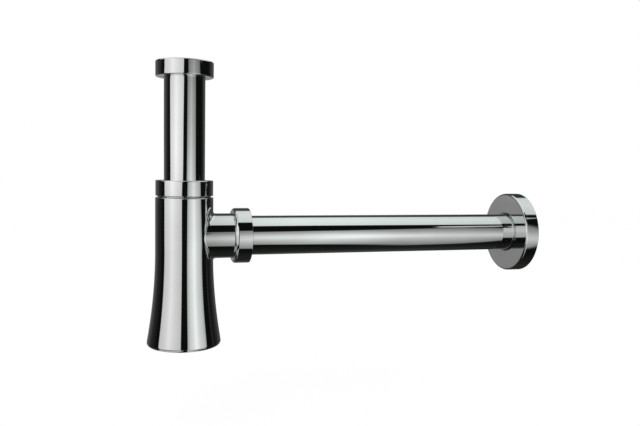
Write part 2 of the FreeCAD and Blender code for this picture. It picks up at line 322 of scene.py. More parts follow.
@dataclass
class Skin:
    """Lofted grids of points that are welded into one closed mesh."""

    points: list[np.ndarray] = field(default_factory=list)
    traits: list[np.ndarray] = field(default_factory=list)
    quads: list[np.ndarray] = field(default_factory=list)

    def loft(self, rings: np.ndarray, traits: np.ndarray, closed: bool = False,
             keep: np.ndarray | None = None) -> None:
        """Adds a grid of rings: each ring closes on itself, and its neighbours are joined by quads.

        Args:
            rings: points of shape (rings, points around, 3), in millimetres.
            traits: one row of traits per ring.
            closed: whether the last ring joins the first.
            keep: mask of the quads to keep, one row per gap between rings.
        """
        rows, columns = rings.shape[:2]
        start = sum(len(part) for part in self.points)
        row = np.arange(rows if closed else rows - 1)[:, None]
        column = np.arange(columns)[None, :]
        after, beside = (row + 1) % rows, (column + 1) % columns
        grid = np.stack([row * columns + column, row * columns + beside,
                         after * columns + beside, after * columns + column], axis=-1)
        self.points.append(rings.reshape(-1, 3))
        self.traits.append(np.repeat(traits, columns, axis=0))
        self.quads.append(start + (grid if keep is None else grid[keep]).reshape(-1, 4))

    def welded(self) -> tuple[np.ndarray, np.ndarray, list[list[int]]]:
        """Merges points that coincide, drops unused ones, and makes triangles of quads collapsed at a pole.

        Returns:
            Points, traits and faces.
        """
        points, traits = np.concatenate(self.points), np.concatenate(self.traits)
        quads = np.concatenate(self.quads)
        keys = np.round(points / WELD).astype(np.int64)
        _, first, same = np.unique(keys, axis=0, return_index=True, return_inverse=True)
        used, quads = np.unique(same.reshape(-1)[quads], return_inverse=True)
        first, quads = first[used], quads.reshape(-1, 4)
        at_start, at_end = quads[:, 0] == quads[:, 1], quads[:, 2] == quads[:, 3]
        faces = quads[~at_start & ~at_end].tolist()
        faces += quads[at_start & ~at_end][:, [0, 2, 3]].tolist()
        faces += quads[at_end & ~at_start][:, [0, 1, 2]].tolist()
        return points[first], traits[first], faces


def turned(outline: Outline, axis: Axis = Axis.INLET) -> np.ndarray:
    """Rings of an outline carried around its axis; threads move the wall in and out along their helix.

    Args:
        outline: the section.
        axis: line to turn about.

    Returns:
        Points of shape (outline points, COLUMNS, 3), wound so that faces point out of the metal.
    """
    radius, height, _ = outline.arrays()
    turn = np.arange(COLUMNS)[None, :] / COLUMNS
    reach = np.repeat(radius[:, None], COLUMNS, axis=1)
    for first, last, thread, ends in outline.threads:
        reach[first:last] += thread.depth(height[first:last, None], turn, ends)
    return placed(reach * np.cos(TURN * turn), reach * np.sin(TURN * turn),
                  np.broadcast_to(height[:, None], reach.shape), axis)


def placed(across: np.ndarray, beside: np.ndarray, along: np.ndarray, axis: Axis) -> np.ndarray:
    """Points from coordinates about a turning axis: as they are on the inlet, laid along +X on the outlet.

    Args:
        across: first coordinate square to the axis.
        beside: second coordinate square to the axis.
        along: coordinate on the axis.
        axis: which axis.

    Returns:
        Points in the model's frame.
    """
    if axis is Axis.INLET:
        return np.stack([across, beside, along], axis=-1)
    return np.stack([along, beside, OUTLET_HEIGHT - across], axis=-1)


def runs_inside_out(outline: Outline) -> bool:
    """Whether an outline goes clockwise, by the sign of its area from the shoelace formula."""
    radius, height, _ = outline.arrays()
    return float(np.sum(radius * np.roll(height, -1) - np.roll(radius, -1) * height)) < 0.0


def lathe(corners: list[Corner], axis: Axis = Axis.INLET) -> Skin:
    """Skin of a piece turned from one closed outline.

    Args:
        corners: the outline's corners, in either sense.
        axis: line to turn about.

    Returns:
        The skin, with faces outwards.
    """
    outline = Outline().follow(corners)
    rings, traits = turned(outline, axis), outline.arrays()[2]
    skin = Skin()
    if runs_inside_out(outline):
        rings, traits = rings[::-1], traits[::-1]
    skin.loft(rings, traits, closed=True)
    return skin


def cord_ring(envelope: Envelope, axis: Axis = Axis.INLET) -> Skin:
    """Skin of an O-ring: a circle carried around the axis.

    Args:
        envelope: outer radius and ends of the ring.
        axis: line to turn about.

    Returns:
        The skin, with faces outwards.
    """
    section = (envelope.high - envelope.low) / 2
    sweep = np.linspace(0.0, TURN, CORD_STEPS + 1)[:-1]
    outline = Outline()
    outline.add(envelope.radius - section + section * np.cos(sweep),
                (envelope.high + envelope.low) / 2 + section * np.sin(sweep))
    skin = Skin()
    skin.loft(turned(outline, axis), outline.arrays()[2], closed=True)
    return skin


class Graph:
    """A node tree with short calls to add nodes and links."""

    def __init__(self, tree: bpy.types.NodeTree) -> None:
        """Takes over a tree and empties it."""
        self.tree = tree
        tree.nodes.clear()

    def add(self, kind: str, inputs: dict | None = None, **settings) -> bpy.types.Node:
        """Adds a node.

        Args:
            kind: Blender's node type.
            inputs: socket to number, colour or source socket.
            **settings: properties of the node.

        Returns:
            The new node.
        """
        node = self.tree.nodes.new(kind)
        for name, value in settings.items():
            setattr(node, name, value)
        for socket, value in (inputs or {}).items():
            if isinstance(value, bpy.types.NodeSocket):
                self.tree.links.new(value, node.inputs[socket])
            else:
                node.inputs[socket].default_value = value
        return node

    def math(self, operation: str, *values: Feed) -> bpy.types.NodeSocket:
        """Output of a Math node over numbers or sockets."""
        return self.add("ShaderNodeMath", dict(enumerate(values)), operation=operation).outputs[0]

    def blend(self, amount: Feed, first: Feed, second: Feed) -> bpy.types.NodeSocket:
        """Output of a colour Mix node."""
        node = self.add("ShaderNodeMix", {0: amount, 6: first, 7: second}, data_type="RGBA")
        return node.outputs[2]

    def between(self, value: Feed, low: float, high: float) -> bpy.types.NodeSocket:
        """A 0 to 1 value spread between two numbers."""
        return self.add("ShaderNodeMapRange", {0: value, 3: low, 4: high}).outputs[0]

    def attribute(self, name: str) -> bpy.types.NodeSocket:
        """A trait that is stored on the mesh's points."""
        return self.add("ShaderNodeAttribute", attribute_name=name).outputs["Fac"]

    def group(self, name: str, inputs: dict[str, Feed]) -> bpy.types.NodeSocket:
        """Output of a shared node group, placed here with its own values."""
        return self.add("ShaderNodeGroup", inputs, node_tree=bpy.data.node_groups[name]).outputs[0]


def new_material(name: str) -> tuple[bpy.types.Material, Graph]:
    """Starts a material with an empty graph.

    Args:
        name: the material's name.

    Returns:
        The material and its graph.
    """
    material = bpy.data.materials.new(name)
    material.use_nodes = True
    return material, Graph(material.node_tree)


def stand(name: str, data: bpy.types.ID) -> bpy.types.Object:
    """Puts a mesh, lamp or camera into the scene as an object.

    Args:
        name: the object's name.
        data: what it shows.

    Returns:
        The object.
    """
    made = bpy.data.objects.new(name, data)
    bpy.context.scene.collection.objects.link(made)
    return made


def shader_group(name: str, inputs: dict[str, tuple[str, float]],
                 output: str) -> tuple[Graph, bpy.types.Node, bpy.types.Node]:
    """Starts a shader node group with named sockets.

    Args:
        name: the group's name.
        inputs: socket name to socket type and default.
        output: name of its one float output.

    Returns:
        The group's graph, its input node and its output node.
    """
    tree = bpy.data.node_groups.new(name, "ShaderNodeTree")
    graph = Graph(tree)
    for socket, (kind, default) in inputs.items():
        made = tree.interface.new_socket(name=socket, in_out="INPUT", socket_type=kind)
        if kind == "NodeSocketFloat":
            made.default_value = default
    tree.interface.new_socket(name=output, in_out="OUTPUT", socket_type="NodeSocketFloat")
    return graph, graph.add("NodeGroupInput"), graph.add("NodeGroupOutput")


def lathe_marks_group() -> None:
    """Fine rings left by turning and buffing: one-dimensional noise along the section."""
    graph, source, sink = shader_group(
        "lathe_marks", {"Along": ("NodeSocketFloat", 0.0), "Per mm": ("NodeSocketFloat", 8.0)}, "Height")
    place = graph.math("MULTIPLY", source.outputs["Along"], source.outputs["Per mm"])
    noise = graph.add("ShaderNodeTexNoise", {"W": place, "Scale": 1.0, "Detail": 2.0, "Roughness": 0.6},
                      noise_dimensions="1D")
    graph.tree.links.new(noise.outputs[0], sink.inputs["Height"])


def soft_clouds_group() -> None:
    """Slow variation over a surface, such as buffing haze, tarnish or rubber bloom: stretched noise."""
    graph, source, sink = shader_group(
        "soft_clouds", {"Vector": ("NodeSocketVector", 0.0), "Scale": ("NodeSocketFloat", 30.0)}, "Mask")
    noise = graph.add("ShaderNodeTexNoise", {
        "Vector": source.outputs["Vector"], "Scale": source.outputs["Scale"],
        "Detail": 3.0, "Roughness": 0.55})
    spread = graph.add("ShaderNodeMapRange", {0: noise.outputs[0], 1: 0.3, 2: 0.7},
                       interpolation_type="SMOOTHSTEP")
    graph.tree.links.new(spread.outputs[0], sink.inputs["Mask"])


@dataclass(frozen=True)
class Finish:
    """What the finishes share: a name and the two groups that vary them."""

    name: str

    def start(self) -> tuple[bpy.types.Material, Graph, bpy.types.NodeSocket]:
        """New material with an empty graph.

        Returns:
            The material, its graph, and its Object coordinates.
        """
        material, graph = new_material(self.name)
        return material, graph, graph.add("ShaderNodeTexCoord").outputs["Object"]

    @staticmethod
    def clouds(graph: Graph, vector: bpy.types.NodeSocket, scale: float) -> bpy.types.NodeSocket:
        """Mask of the soft_clouds group at one scale."""
        return graph.group("soft_clouds", {"Vector": vector, "Scale": scale})

    @staticmethod
    def marks(graph: Graph, per_mm: float) -> bpy.types.NodeSocket:
        """Height of the lathe_marks group at one fineness."""
        return graph.group("lathe_marks", {"Along": graph.attribute("along"), "Per mm": per_mm})

    @staticmethod
    def bump(graph: Graph, relief: Span, height: bpy.types.NodeSocket) -> bpy.types.NodeSocket:
        """Normal of a bump of one strength and one distance, in metres."""
        inputs = {"Strength": relief[0], "Distance": relief[1], "Height": height}
        return graph.add("ShaderNodeBump", inputs).outputs[0]

    @staticmethod
    def close(material: bpy.types.Material, graph: Graph, inputs: dict) -> bpy.types.Material:
        """Puts a Principled shader on the material's output.

        Args:
            material: the material to finish.
            graph: its graph.
            inputs: the shader's sockets and what feeds them.

        Returns:
            The material.
        """
        shader = graph.add("ShaderNodeBsdfPrincipled", inputs)
        graph.add("ShaderNodeOutputMaterial", {"Surface": shader.outputs[0]})
        return material


@dataclass(frozen=True)
class Chrome(Finish):
    """Chrome plate on brass: a cool bright plate outside, bare drawn or bored brass where it is unplated."""

    marks_per_mm: float = 9.0
    plate: Colour = (0.755, 0.76, 0.757, 1.0)
    plate_haze: Colour = (0.72, 0.725, 0.722, 1.0)
    brass: Colour = (0.62, 0.45, 0.2, 1.0)
    tarnish: Colour = (0.4, 0.27, 0.11, 1.0)
    gloss: Span = (0.02, 0.045)
    bare_gloss: Span = (0.24, 0.42)
    edge_wear: float = 0.02           # roughness added on rounded edges
    haze_scale: float = 55.0
    stain_fineness: float = 3.0       # tarnish spots against haze clouds
    marks_seen: Span = (0.05, 1.0)    # share of the lathe marks on plate and on brass
    relief: Span = (0.25, 0.00002)

    def build(self) -> bpy.types.Material:
        """Mixes plate and brass by the bare trait; haze dulls the plate, and lathe marks catch on the brass.

        Returns:
            The material.
        """
        material, graph, place = self.start()
        bare, edge = graph.attribute("bare"), graph.attribute("edge")
        haze = self.clouds(graph, place, self.haze_scale)
        stain = self.clouds(graph, place, self.haze_scale * self.stain_fineness)
        marks = self.marks(graph, self.marks_per_mm)
        plate = graph.blend(haze, self.plate, self.plate_haze)
        brass = graph.blend(stain, self.brass, self.tarnish)
        wear = graph.math("MULTIPLY", edge, self.edge_wear)
        plate_gloss = graph.math("ADD", graph.between(haze, *self.gloss), wear)
        brass_gloss = graph.between(marks, *self.bare_gloss)
        gloss = graph.add("ShaderNodeMix", {0: bare, 2: plate_gloss, 3: brass_gloss}).outputs[0]
        height = graph.math("MULTIPLY", marks, graph.between(bare, *self.marks_seen))
        return self.close(material, graph, {
            "Base Color": graph.blend(bare, plate, brass), "Metallic": 1.0, "Roughness": gloss,
            "Normal": self.bump(graph, self.relief, height)})


@dataclass(frozen=True)
class Rubber(Finish):
    """Moulded black rubber: fine mould grain and a faint grey bloom."""

    black: Colour = (0.016, 0.016, 0.017, 1.0)
    bloom: Colour = (0.045, 0.045, 0.047, 1.0)
    gloss: Span = (0.5, 0.72)
    bloom_scale: float = 140.0
    grain_scale: float = 4200.0
    relief: Span = (0.35, 0.00005)

    def build(self) -> bpy.types.Material:
        """Bloom lightens and dulls the black in clouds; the grain is a fine bump.

        Returns:
            The material.
        """
        material, graph, place = self.start()
        bloom = self.clouds(graph, place, self.bloom_scale)
        grain = self.clouds(graph, place, self.grain_scale)
        return self.close(material, graph, {
            "Base Color": graph.blend(bloom, self.black, self.bloom),
            "Roughness": graph.between(bloom, *self.gloss),
            "Normal": self.bump(graph, self.relief, grain)})


@dataclass(frozen=True)
class Nylon(Finish):
    """Natural nylon: warm white, slightly cloudy, with a moulded sheen."""

    pale: Colour = (0.78, 0.77, 0.72, 1.0)
    cloudy: Colour = (0.68, 0.66, 0.58, 1.0)
    gloss: Span = (0.32, 0.48)
    cloud_scale: float = 220.0
    marks_per_mm: float = 5.0
    relief: Span = (0.2, 0.00003)

    def build(self) -> bpy.types.Material:
        """Clouds vary the white and its gloss; turning marks from the mould give a fine bump.

        Returns:
            The material.
        """
        material, graph, place = self.start()
        clouds = self.clouds(graph, place, self.cloud_scale)
        return self.close(material, graph, {
            "Base Color": graph.blend(clouds, self.pale, self.cloudy),
            "Roughness": graph.between(clouds, *self.gloss),
            "Normal": self.bump(graph, self.relief, self.marks(graph, self.marks_per_mm))})


class Workshop:
    """Holds the finished materials and turns skins into pieces of the model."""

    def __init__(self) -> None:
        """Builds the shared groups, then one material per slot."""
        lathe_marks_group()
        soft_clouds_group()
        self.materials = {
            Slot.TURNED: Chrome("turned_chrome").build(),
            Slot.TUBE: Chrome("drawn_tube_chrome", marks_per_mm=3.0, haze_scale=40.0).build(),
            Slot.BODY: Chrome("cast_body_chrome", marks_per_mm=5.0, haze_scale=35.0).build(),
            Slot.RUBBER: Rubber("moulded_rubber").build(),
            Slot.NYLON: Nylon("natural_nylon").build(),
        }

    def piece(self, name: str, skin: Skin, slot: Slot, body: str, node: str, reorient: bool = False,
              normals: Callable[[np.ndarray], np.ndarray] | None = None) -> None:
        """Makes a welded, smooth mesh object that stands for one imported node.

        Args:
            name: the new piece's name.
            skin: its surface, in millimetres.
            slot: its material slot.
            body: the body that it moves with.
            node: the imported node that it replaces.
            reorient: whether its faces are turned outwards after welding.
            normals: gives the true normal at each point, or zero where the mesh's own is kept.
        """
        points, traits, faces = skin.welded()
        mesh = bpy.data.meshes.new(name)
        mesh.from_pydata((points * MM).tolist(), [], faces)
        for column, trait in enumerate(TRAITS):
            layer = mesh.attributes.new(trait, "FLOAT", "POINT")
            layer.data.foreach_set("value", np.ascontiguousarray(traits[:, column], dtype=np.float32))
        if reorient:
            work = bmesh.new()
            work.from_mesh(mesh)
            bmesh.ops.recalc_face_normals(work, faces=work.faces)
            work.to_mesh(mesh)
            work.free()
        mesh.shade_smooth()
        if normals:
            mesh.normals_split_custom_set_from_vertices(normals(points).tolist())
        mesh.materials.append(self.materials[slot])
        made = stand(name, mesh)
        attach(made, body)
        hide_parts(node)
        LOG.info("%s: %d points, %d faces, on %s", name, len(points), len(faces), body)


def flat_ring(hole: float, envelope: Envelope, rounding: float) -> list[Corner]:
    """Corners of a flat ring with four softened edges.

    Args:
        hole: inner radius.
        envelope: outer radius and faces.
        rounding: radius of the edges.

    Returns:
        The corners.
    """
    return [Corner(hole, envelope.low, rounding), Corner(envelope.radius, envelope.low, rounding),
            Corner(envelope.radius, envelope.high, rounding), Corner(hole, envelope.high, rounding)]


@dataclass
class InletUnion:
    """Union nut, flat washer and the inlet tube that hangs from it."""

    tube_radius: float = TUBE_RADIUS
    tube_wall: float = 1.0
    collar_thickness: float = 1.2
    nut_shoulder: float = 1.7
    washer_inset: float = 0.3
    washer_lip: float = 0.7
    washer_round: float = 0.2
    thread_depth: float = 1.479
    thread_clearance: float = 0.15
    nut_round: float = 0.8
    thread: Thread = Thread(pitch=2.309, cut=1.25)

    def nut(self) -> Skin:
        """Smooth outside; inside, the shoulder, the washer's relief, the pipe thread and its mouth.

        Returns:
            The skin.
        """
        outer, washer = Envelope.of("inlet_nut"), Envelope.of("inlet_washer")
        hole = self.tube_radius + FITS.slide
        crest = washer.radius - self.washer_lip
        relief = crest + self.thread_depth + self.thread_clearance
        shoulder = outer.low + self.nut_shoulder
        return lathe([
            Corner(hole, outer.low, FITS.fine),
            Corner(outer.radius, outer.low, self.nut_round),
            Corner(outer.radius, outer.high, self.nut_round),
            Corner(crest + self.thread_depth, outer.high),
            Corner(crest, outer.high - self.thread_depth, bare=True, thread=self.thread),
            Corner(crest, washer.high, bare=True),
            Corner(relief, washer.high, bare=True),
            Corner(relief, shoulder, bare=True),
            Corner(hole, shoulder),
        ])

    def washer(self) -> Skin:
        """Flat ring with moulded edges."""
        hole = self.tube_radius - self.tube_wall + self.washer_inset
        return lathe(flat_ring(hole, Envelope.of("inlet_washer"), self.washer_round))

    def tube(self) -> Skin:
        """Straight plated tube with a turned-out collar and a bare bore.

        Returns:
            The skin.
        """
        outer = Envelope.of("inlet_tube")
        bore = self.tube_radius - self.tube_wall
        collar_low = outer.high - self.collar_thickness
        return lathe([
            Corner(bore, outer.low),
            Corner(self.tube_radius, outer.low, FITS.fine),
            Corner(self.tube_radius, collar_low, FITS.fine),
            Corner(outer.radius, collar_low, FITS.fine),
            Corner(outer.radius, outer.high, FITS.fine),
            Corner(bore, outer.high, bare=True),
        ])

    def build(self, shop: Workshop) -> None:
        """Makes the three pieces.

        Args:
            shop: where they are made.
        """
        shop.piece("inlet_nut_turned", self.nut(), Slot.TURNED, "inlet_nut", "inlet_nut")
        shop.piece("inlet_washer_moulded", self.washer(), Slot.RUBBER, "inlet_nut", "inlet_washer")
        shop.piece("inlet_tube_drawn", self.tube(), Slot.TUBE, "inlet_tube", "inlet_tube")


@dataclass
class NeckCoupling:
    """Cap on the bottle's neck, with its slip ring and taper seal."""

    tube_radius: float = TUBE_RADIUS
    cap_wall: float = 1.35
    cap_round: float = 0.8
    ring_round: float = 0.15
    seat_depth: float = 5.0
    seat_width: float = 3.4
    seal_proud: float = 1.0
    thread: Thread = Thread(pitch=2.0, cut=0.75)

    def cap(self) -> Skin:
        """Plate around the tube, and a skirt with the thread inside.

        Returns:
            The skin.
        """
        outer = Envelope.of("cap_nut")
        hole = self.tube_radius + FITS.slide
        skirt = outer.radius - self.cap_wall
        plate_low = Envelope.of("cap_slip_ring").high
        return lathe([
            Corner(hole, outer.high, FITS.fine),
            Corner(hole, plate_low, bare=True),
            Corner(skirt, plate_low, bare=True, thread=self.thread),
            Corner(skirt, outer.low, FITS.fine),
            Corner(outer.radius, outer.low, FITS.edge),
            Corner(outer.radius, outer.high, self.cap_round),
        ])

    def seal(self) -> Skin:
        """Flat top, straight bore and a cone that fits the neck's seat.

        Returns:
            The skin.
        """
        outer = Envelope.of("cap_seal")
        bore = self.tube_radius + FITS.seal
        slope = self.seat_width / self.seat_depth
        drop = outer.high - self.seal_proud - outer.low
        return lathe([
            Corner(bore, outer.low, self.ring_round),
            Corner(outer.radius - slope * drop, outer.low, self.ring_round),
            Corner(outer.radius, outer.high - self.seal_proud, self.ring_round),
            Corner(outer.radius, outer.high, self.ring_round),
            Corner(bore, outer.high, self.ring_round),
        ])

    def build(self, shop: Workshop) -> None:
        """Makes the three pieces.

        Args:
            shop: where they are made.
        """
        ring = flat_ring(self.tube_radius + FITS.slide, Envelope.of("cap_slip_ring"), self.ring_round)
        shop.piece("cap_nut_turned", self.cap(), Slot.TURNED, "cap_nut", "cap_nut")
        shop.piece("cap_slip_ring_cut", lathe(ring), Slot.NYLON, "cap_ring", "cap_slip_ring")
        shop.piece("cap_seal_moulded", self.seal(), Slot.RUBBER, "bottle", "cap_seal")


@dataclass
class Bottle:
    """One-piece bottle: threaded neck, straight wall, flared foot, plug opening and side branch."""

    neck_bore: float = 16.4
    seat_width: float = 3.4
    seat_depth: float = 5.0
    neck_radius: float = 21.0
    neck_guide: float = 3.0
    shoulder_drop: float = 8.8        # neck top to shoulder
    body_radius: float = 22.7
    body_wall: float = 1.7
    flare_drop: float = 74.3          # shoulder to the middle of the flare's bend
    flare_bend: float = 32.3          # tangent length of that bend
    base_flare: float = 6.9
    base_round: float = 2.5
    recess_radius: float = 23.3
    recess_depth: float = 2.6
    ring_pocket: float = 20.15
    ring_pocket_depth: float = 2.15
    plug_hole: float = 18.0
    boss_wall: float = 2.5
    boss_height: float = 8.0
    floor_thickness: float = 2.6
    branch_radius: float = 18.0
    branch_bore: float = 16.4
    branch_fillet: float = 2.0
    branch_stop: float = 25.0
    port_radius: float = 15.0
    outlet_seat_width: float = 1.0
    outlet_seat_depth: float = 3.0
    thread_start: float = 38.6        # first thread on the branch, from the bottle's axis
    neck_thread: Thread = Thread(pitch=2.0, cut=-0.75)
    plug_thread: Thread = Thread(pitch=1.5, cut=0.6)
    branch_thread: Thread = Thread(pitch=1.5, cut=-0.55)
    window_half_turn: float = 80.625  # degrees each side of the branch that its saddle patch covers
    window_half_height: float = 23.0
    window_rows: int = 37
    wall_rows: tuple[int, int] = (4, 20)     # rings of the outer wall above and below the window
    inner_rows: tuple[int, int] = (4, 6)     # the same for the inner wall
    patch_steps: tuple[int, int] = (14, 6)   # rings of the outer and the inner saddle patch
    wall_ends: Span = (2.0, 5.0)             # plain outer wall from below the shoulder to above the base
    foot_gap: float = 0.2                    # from the outer wall's last ring to the foot's first
    stub_shares: tuple[float, ...] = (0.02, 0.4, 0.8, 1.0)   # rings from the fillet to clear of it
    branch_thread_rings: int = 48
    mouth_steps: int = 4                     # facets in the branch's end edge

    def __post_init__(self) -> None:
        """Works out the heights that the outline and the branch share."""
        outer = Envelope.of("bottle_body")
        self.top, self.base = outer.high, outer.low
        self.branch_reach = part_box("bottle_body")[1][0] / MM
        self.shoulder = self.top - self.shoulder_drop
        self.bend = self.shoulder - self.flare_drop
        self.slope = self.base_flare / (self.bend - self.base)
        self.bend_radius = self.flare_bend / math.tan(math.atan(self.slope) / 2)
        self.window = (OUTLET_HEIGHT + self.window_half_height, OUTLET_HEIGHT - self.window_half_height)
        self.window_columns = round(self.window_half_turn / 360.0 * COLUMNS)
        self.branch_root = math.sqrt(self.body_radius ** 2 - self.branch_radius ** 2)

    def wall(self, height: np.ndarray, straight: float) -> np.ndarray:
        """Radius of the wall: straight, then an arc tangent to it, then the cone that the arc ends in.

        Args:
            height: places along the axis.
            straight: radius of the straight part.

        Returns:
            Radius at each place.
        """
        below = np.maximum(self.bend + self.flare_bend - height, 0.0)
        arc_end = self.flare_bend * (1.0 + math.cos(math.atan(self.slope)))
        within = np.minimum(below, arc_end)
        arc = self.bend_radius - np.sqrt(self.bend_radius ** 2 - within ** 2)
        return straight + arc + (below - within) * self.slope

    def heights(self, first: float, last: float, before: int, after: int) -> np.ndarray:
        """Heights down a wall, with the branch window's own rows between two looser runs.

        Args:
            first: height at the top.
            last: height at the bottom.
            before: rows above the window.
            after: rows below it.

        Returns:
            Heights from top to bottom.
        """
        top, bottom = self.window
        return np.concatenate([np.linspace(first, top, before + 1)[:-1],
                               np.linspace(top, bottom, self.window_rows),
                               np.linspace(bottom, last, after + 1)[1:]])

    def section(self) -> tuple[Outline, int, int]:
        """The turned section, from the neck's guide over the outside and back up the inside.

        Returns:
            The outline, and the first rows of the outer and the inner window.
        """
        guide_low = self.top - self.seat_depth - self.neck_guide
        inner = self.body_radius - self.body_wall
        mouth = self.neck_bore + self.seat_width
        recess_top = self.base + self.recess_depth
        boss_top = recess_top + self.boss_height
        floor = recess_top + self.floor_thickness
        wall_top, wall_low = self.shoulder - self.wall_ends[0], self.base + self.wall_ends[1]
        foot_top = wall_low - self.foot_gap
        inner_top, inner_low = guide_low - (inner - self.neck_bore), floor + self.wall_ends[1]
        outline = Outline()
        outline.follow([
            Corner(self.neck_bore, guide_low, bare=True),
            Corner(self.neck_bore, self.top - self.seat_depth, bare=True),
            Corner(mouth, self.top),
            Corner(self.neck_radius, self.top, FITS.edge, thread=self.neck_thread),
            Corner(self.neck_radius, self.shoulder),
            Corner(self.body_radius, self.shoulder, FITS.edge),
            Corner(self.body_radius, wall_top),
        ], closed=False)
        above, below = self.wall_rows
        outside = self.heights(wall_top, wall_low, above, below)[1:]
        outer_row = len(outline) + above - 1
        outline.add(self.wall(outside, self.body_radius), outside)
        outline.follow([
            Corner(float(self.wall(np.array(foot_top), self.body_radius)), foot_top),
            Corner(self.body_radius + self.base_flare, self.base, self.base_round),
            Corner(self.recess_radius, self.base, FITS.fine),
            Corner(self.recess_radius, recess_top),
            Corner(self.ring_pocket, recess_top, bare=True),
            Corner(self.ring_pocket, recess_top + self.ring_pocket_depth, bare=True),
            Corner(self.plug_hole, recess_top + self.ring_pocket_depth, bare=True, thread=self.plug_thread),
            Corner(self.plug_hole, boss_top, FITS.fine, bare=True),
            Corner(self.plug_hole + self.boss_wall, boss_top, FITS.fine, bare=True),
            Corner(self.plug_hole + self.boss_wall, floor, FITS.fine, bare=True),
            Corner(inner + (self.bend - floor) * self.slope, floor, self.body_wall, bare=True),
            Corner(float(self.wall(np.array(inner_low), inner)), inner_low, bare=True),
        ], closed=False)
        above, below = self.inner_rows
        inside = self.heights(inner_top, inner_low, above, below)[::-1][1:]
        inner_row = len(outline) + below - 1
        outline.add(self.wall(inside, inner), inside, bare=1.0)
        return outline, outer_row, inner_row

    def window_edge(self) -> Loop:
        """Turn and height of each point around a window: over the top, down, back along the bottom and up.

        Returns:
            Angles in radians and heights.
        """
        turns = np.arange(-self.window_columns, self.window_columns + 1) * TURN / COLUMNS
        rows = np.linspace(*self.window, self.window_rows)
        angle = np.concatenate([turns[:-1], np.full(len(rows) - 1, turns[-1]),
                                turns[:0:-1], np.full(len(rows) - 1, turns[0])])
        height = np.concatenate([np.full(len(turns) - 1, rows[0]), rows[:-1],
                                 np.full(len(turns) - 1, rows[-1]), rows[:0:-1]])
        return angle, height

    def on_wall(self, angle: np.ndarray, height: np.ndarray, straight: float) -> np.ndarray:
        """Points of a wall at given turns and heights."""
        reach = self.wall(height, straight)
        return np.stack([reach * np.cos(angle), reach * np.sin(angle), height], axis=-1)

    def patch(self, first: Loop, last: Loop, straight: float, steps: int) -> np.ndarray:
        """Rings on a wall that go from one closed curve to another, straight in turn and height.

        Args:
            first: turns and heights of the first curve.
            last: turns and heights of the last curve.
            straight: radius of the wall.
            steps: gaps between rings.

        Returns:
            Rings of points.
        """
        part = np.linspace(0.0, 1.0, steps + 1)[:, None]
        angle, height = (start + (end - start) * part for start, end in zip(first, last))
        return self.on_wall(angle, height, straight)

    def branch(self) -> tuple[np.ndarray, np.ndarray]:
        """Rings from the outer window's edge over the fillet and the branch, and back to the inner window.

        The fillet is a ball of its radius rolled along the joint: its centre is one radius off both walls.

        Returns:
            Rings of points and one row of traits per ring.
        """
        inner = self.body_radius - self.body_wall
        edge = self.window_edge()
        around = np.arctan2(self.wall(edge[1], self.body_radius) * np.sin(edge[0]), edge[1] - OUTLET_HEIGHT)
        sine, cosine = np.sin(around), np.cos(around)

        def ring(x: Places, radius: Places) -> np.ndarray:
            """Points at one place along the outlet's axis."""
            return np.stack(np.broadcast_arrays(x, radius * sine, OUTLET_HEIGHT + radius * cosine), axis=-1)

        ball = self.branch_fillet
        middle = ring(0.0, self.branch_radius + ball)
        off_wall = self.wall(middle[:, 2], self.body_radius) + ball
        middle[:, 0] = np.sqrt(off_wall ** 2 - middle[:, 1] ** 2)
        to_wall = -np.stack([middle[:, 0], middle[:, 1], np.zeros_like(sine)], axis=-1) / off_wall[:, None]
        to_branch = np.stack([np.zeros_like(sine), -sine, -cosine], axis=-1)
        sweep = np.arccos(np.clip(np.sum(to_wall * to_branch, axis=-1), -1.0, 1.0))[None, :, None]
        part = np.linspace(0.0, 1.0, ARC_STEPS + 1)[:, None, None]
        fillet = middle + ball * swept(to_wall, to_branch, sweep, part)
        saddle = (np.arctan2(middle[:, 1], middle[:, 0]), middle[:, 2])
        outer_steps, inner_steps = self.patch_steps
        rings = [self.patch(edge, saddle, self.body_radius, outer_steps)[:-1], fillet]
        traits = [(0.0, 0.0)] * outer_steps + [(0.0, 1.0)] * len(fillet)

        def add(x: Places, radius: Places, bare: float = 0.0, rounded: float = 0.0) -> None:
            """Appends one ring with its finish."""
            rings.append(ring(x, radius)[None])
            traits.append((bare, rounded))

        outside, reach, start = self.branch_radius, self.branch_reach, self.thread_start
        end = reach - FITS.fine
        clear = self.body_radius + 2.0 * ball
        for share in self.stub_shares:
            add(middle[:, 0] + (clear - middle[:, 0]) * share, outside)
        add(start - SUPPORT, outside)
        for place in np.linspace(start, end, self.branch_thread_rings):
            cut = self.branch_thread.depth(np.full_like(around, place), -around / TURN, (start, end))
            add(place, outside + cut)
        for turn in np.linspace(0.0, math.pi / 2, self.mouth_steps + 1)[1:]:
            add(end + FITS.fine * math.sin(turn), outside - FITS.fine * (1 - math.cos(turn)), 0.0, 1.0)
        bore, stop, port = self.branch_bore, self.branch_stop, self.port_radius
        mouth, seat = bore + self.outlet_seat_width, reach - self.outlet_seat_depth
        lean = SUPPORT * self.outlet_seat_width / self.outlet_seat_depth
        for place, radius in ((reach, mouth + SUPPORT), (reach, mouth), (reach - SUPPORT, mouth - lean),
                              (seat + SUPPORT, bore + lean), (seat, bore), (seat - SUPPORT, bore),
                              (stop + SUPPORT, bore), (stop, bore), (stop, bore - SUPPORT),
                              (stop, port + SUPPORT), (stop, port), (stop - SUPPORT, port)):
            add(place, radius, 1.0)
        hole = ring(0.0, port)
        hole[:, 0] = np.sqrt(self.wall(hole[:, 2], inner) ** 2 - hole[:, 1] ** 2)
        add(hole[:, 0] + SUPPORT, port, 1.0)
        hole_edge = (np.arctan2(hole[:, 1], hole[:, 0]), hole[:, 2])
        rings.append(self.patch(hole_edge, edge, inner, inner_steps))
        traits += [(1.0, 0.0)] * (inner_steps + 1)
        stacked = np.concatenate(rings)
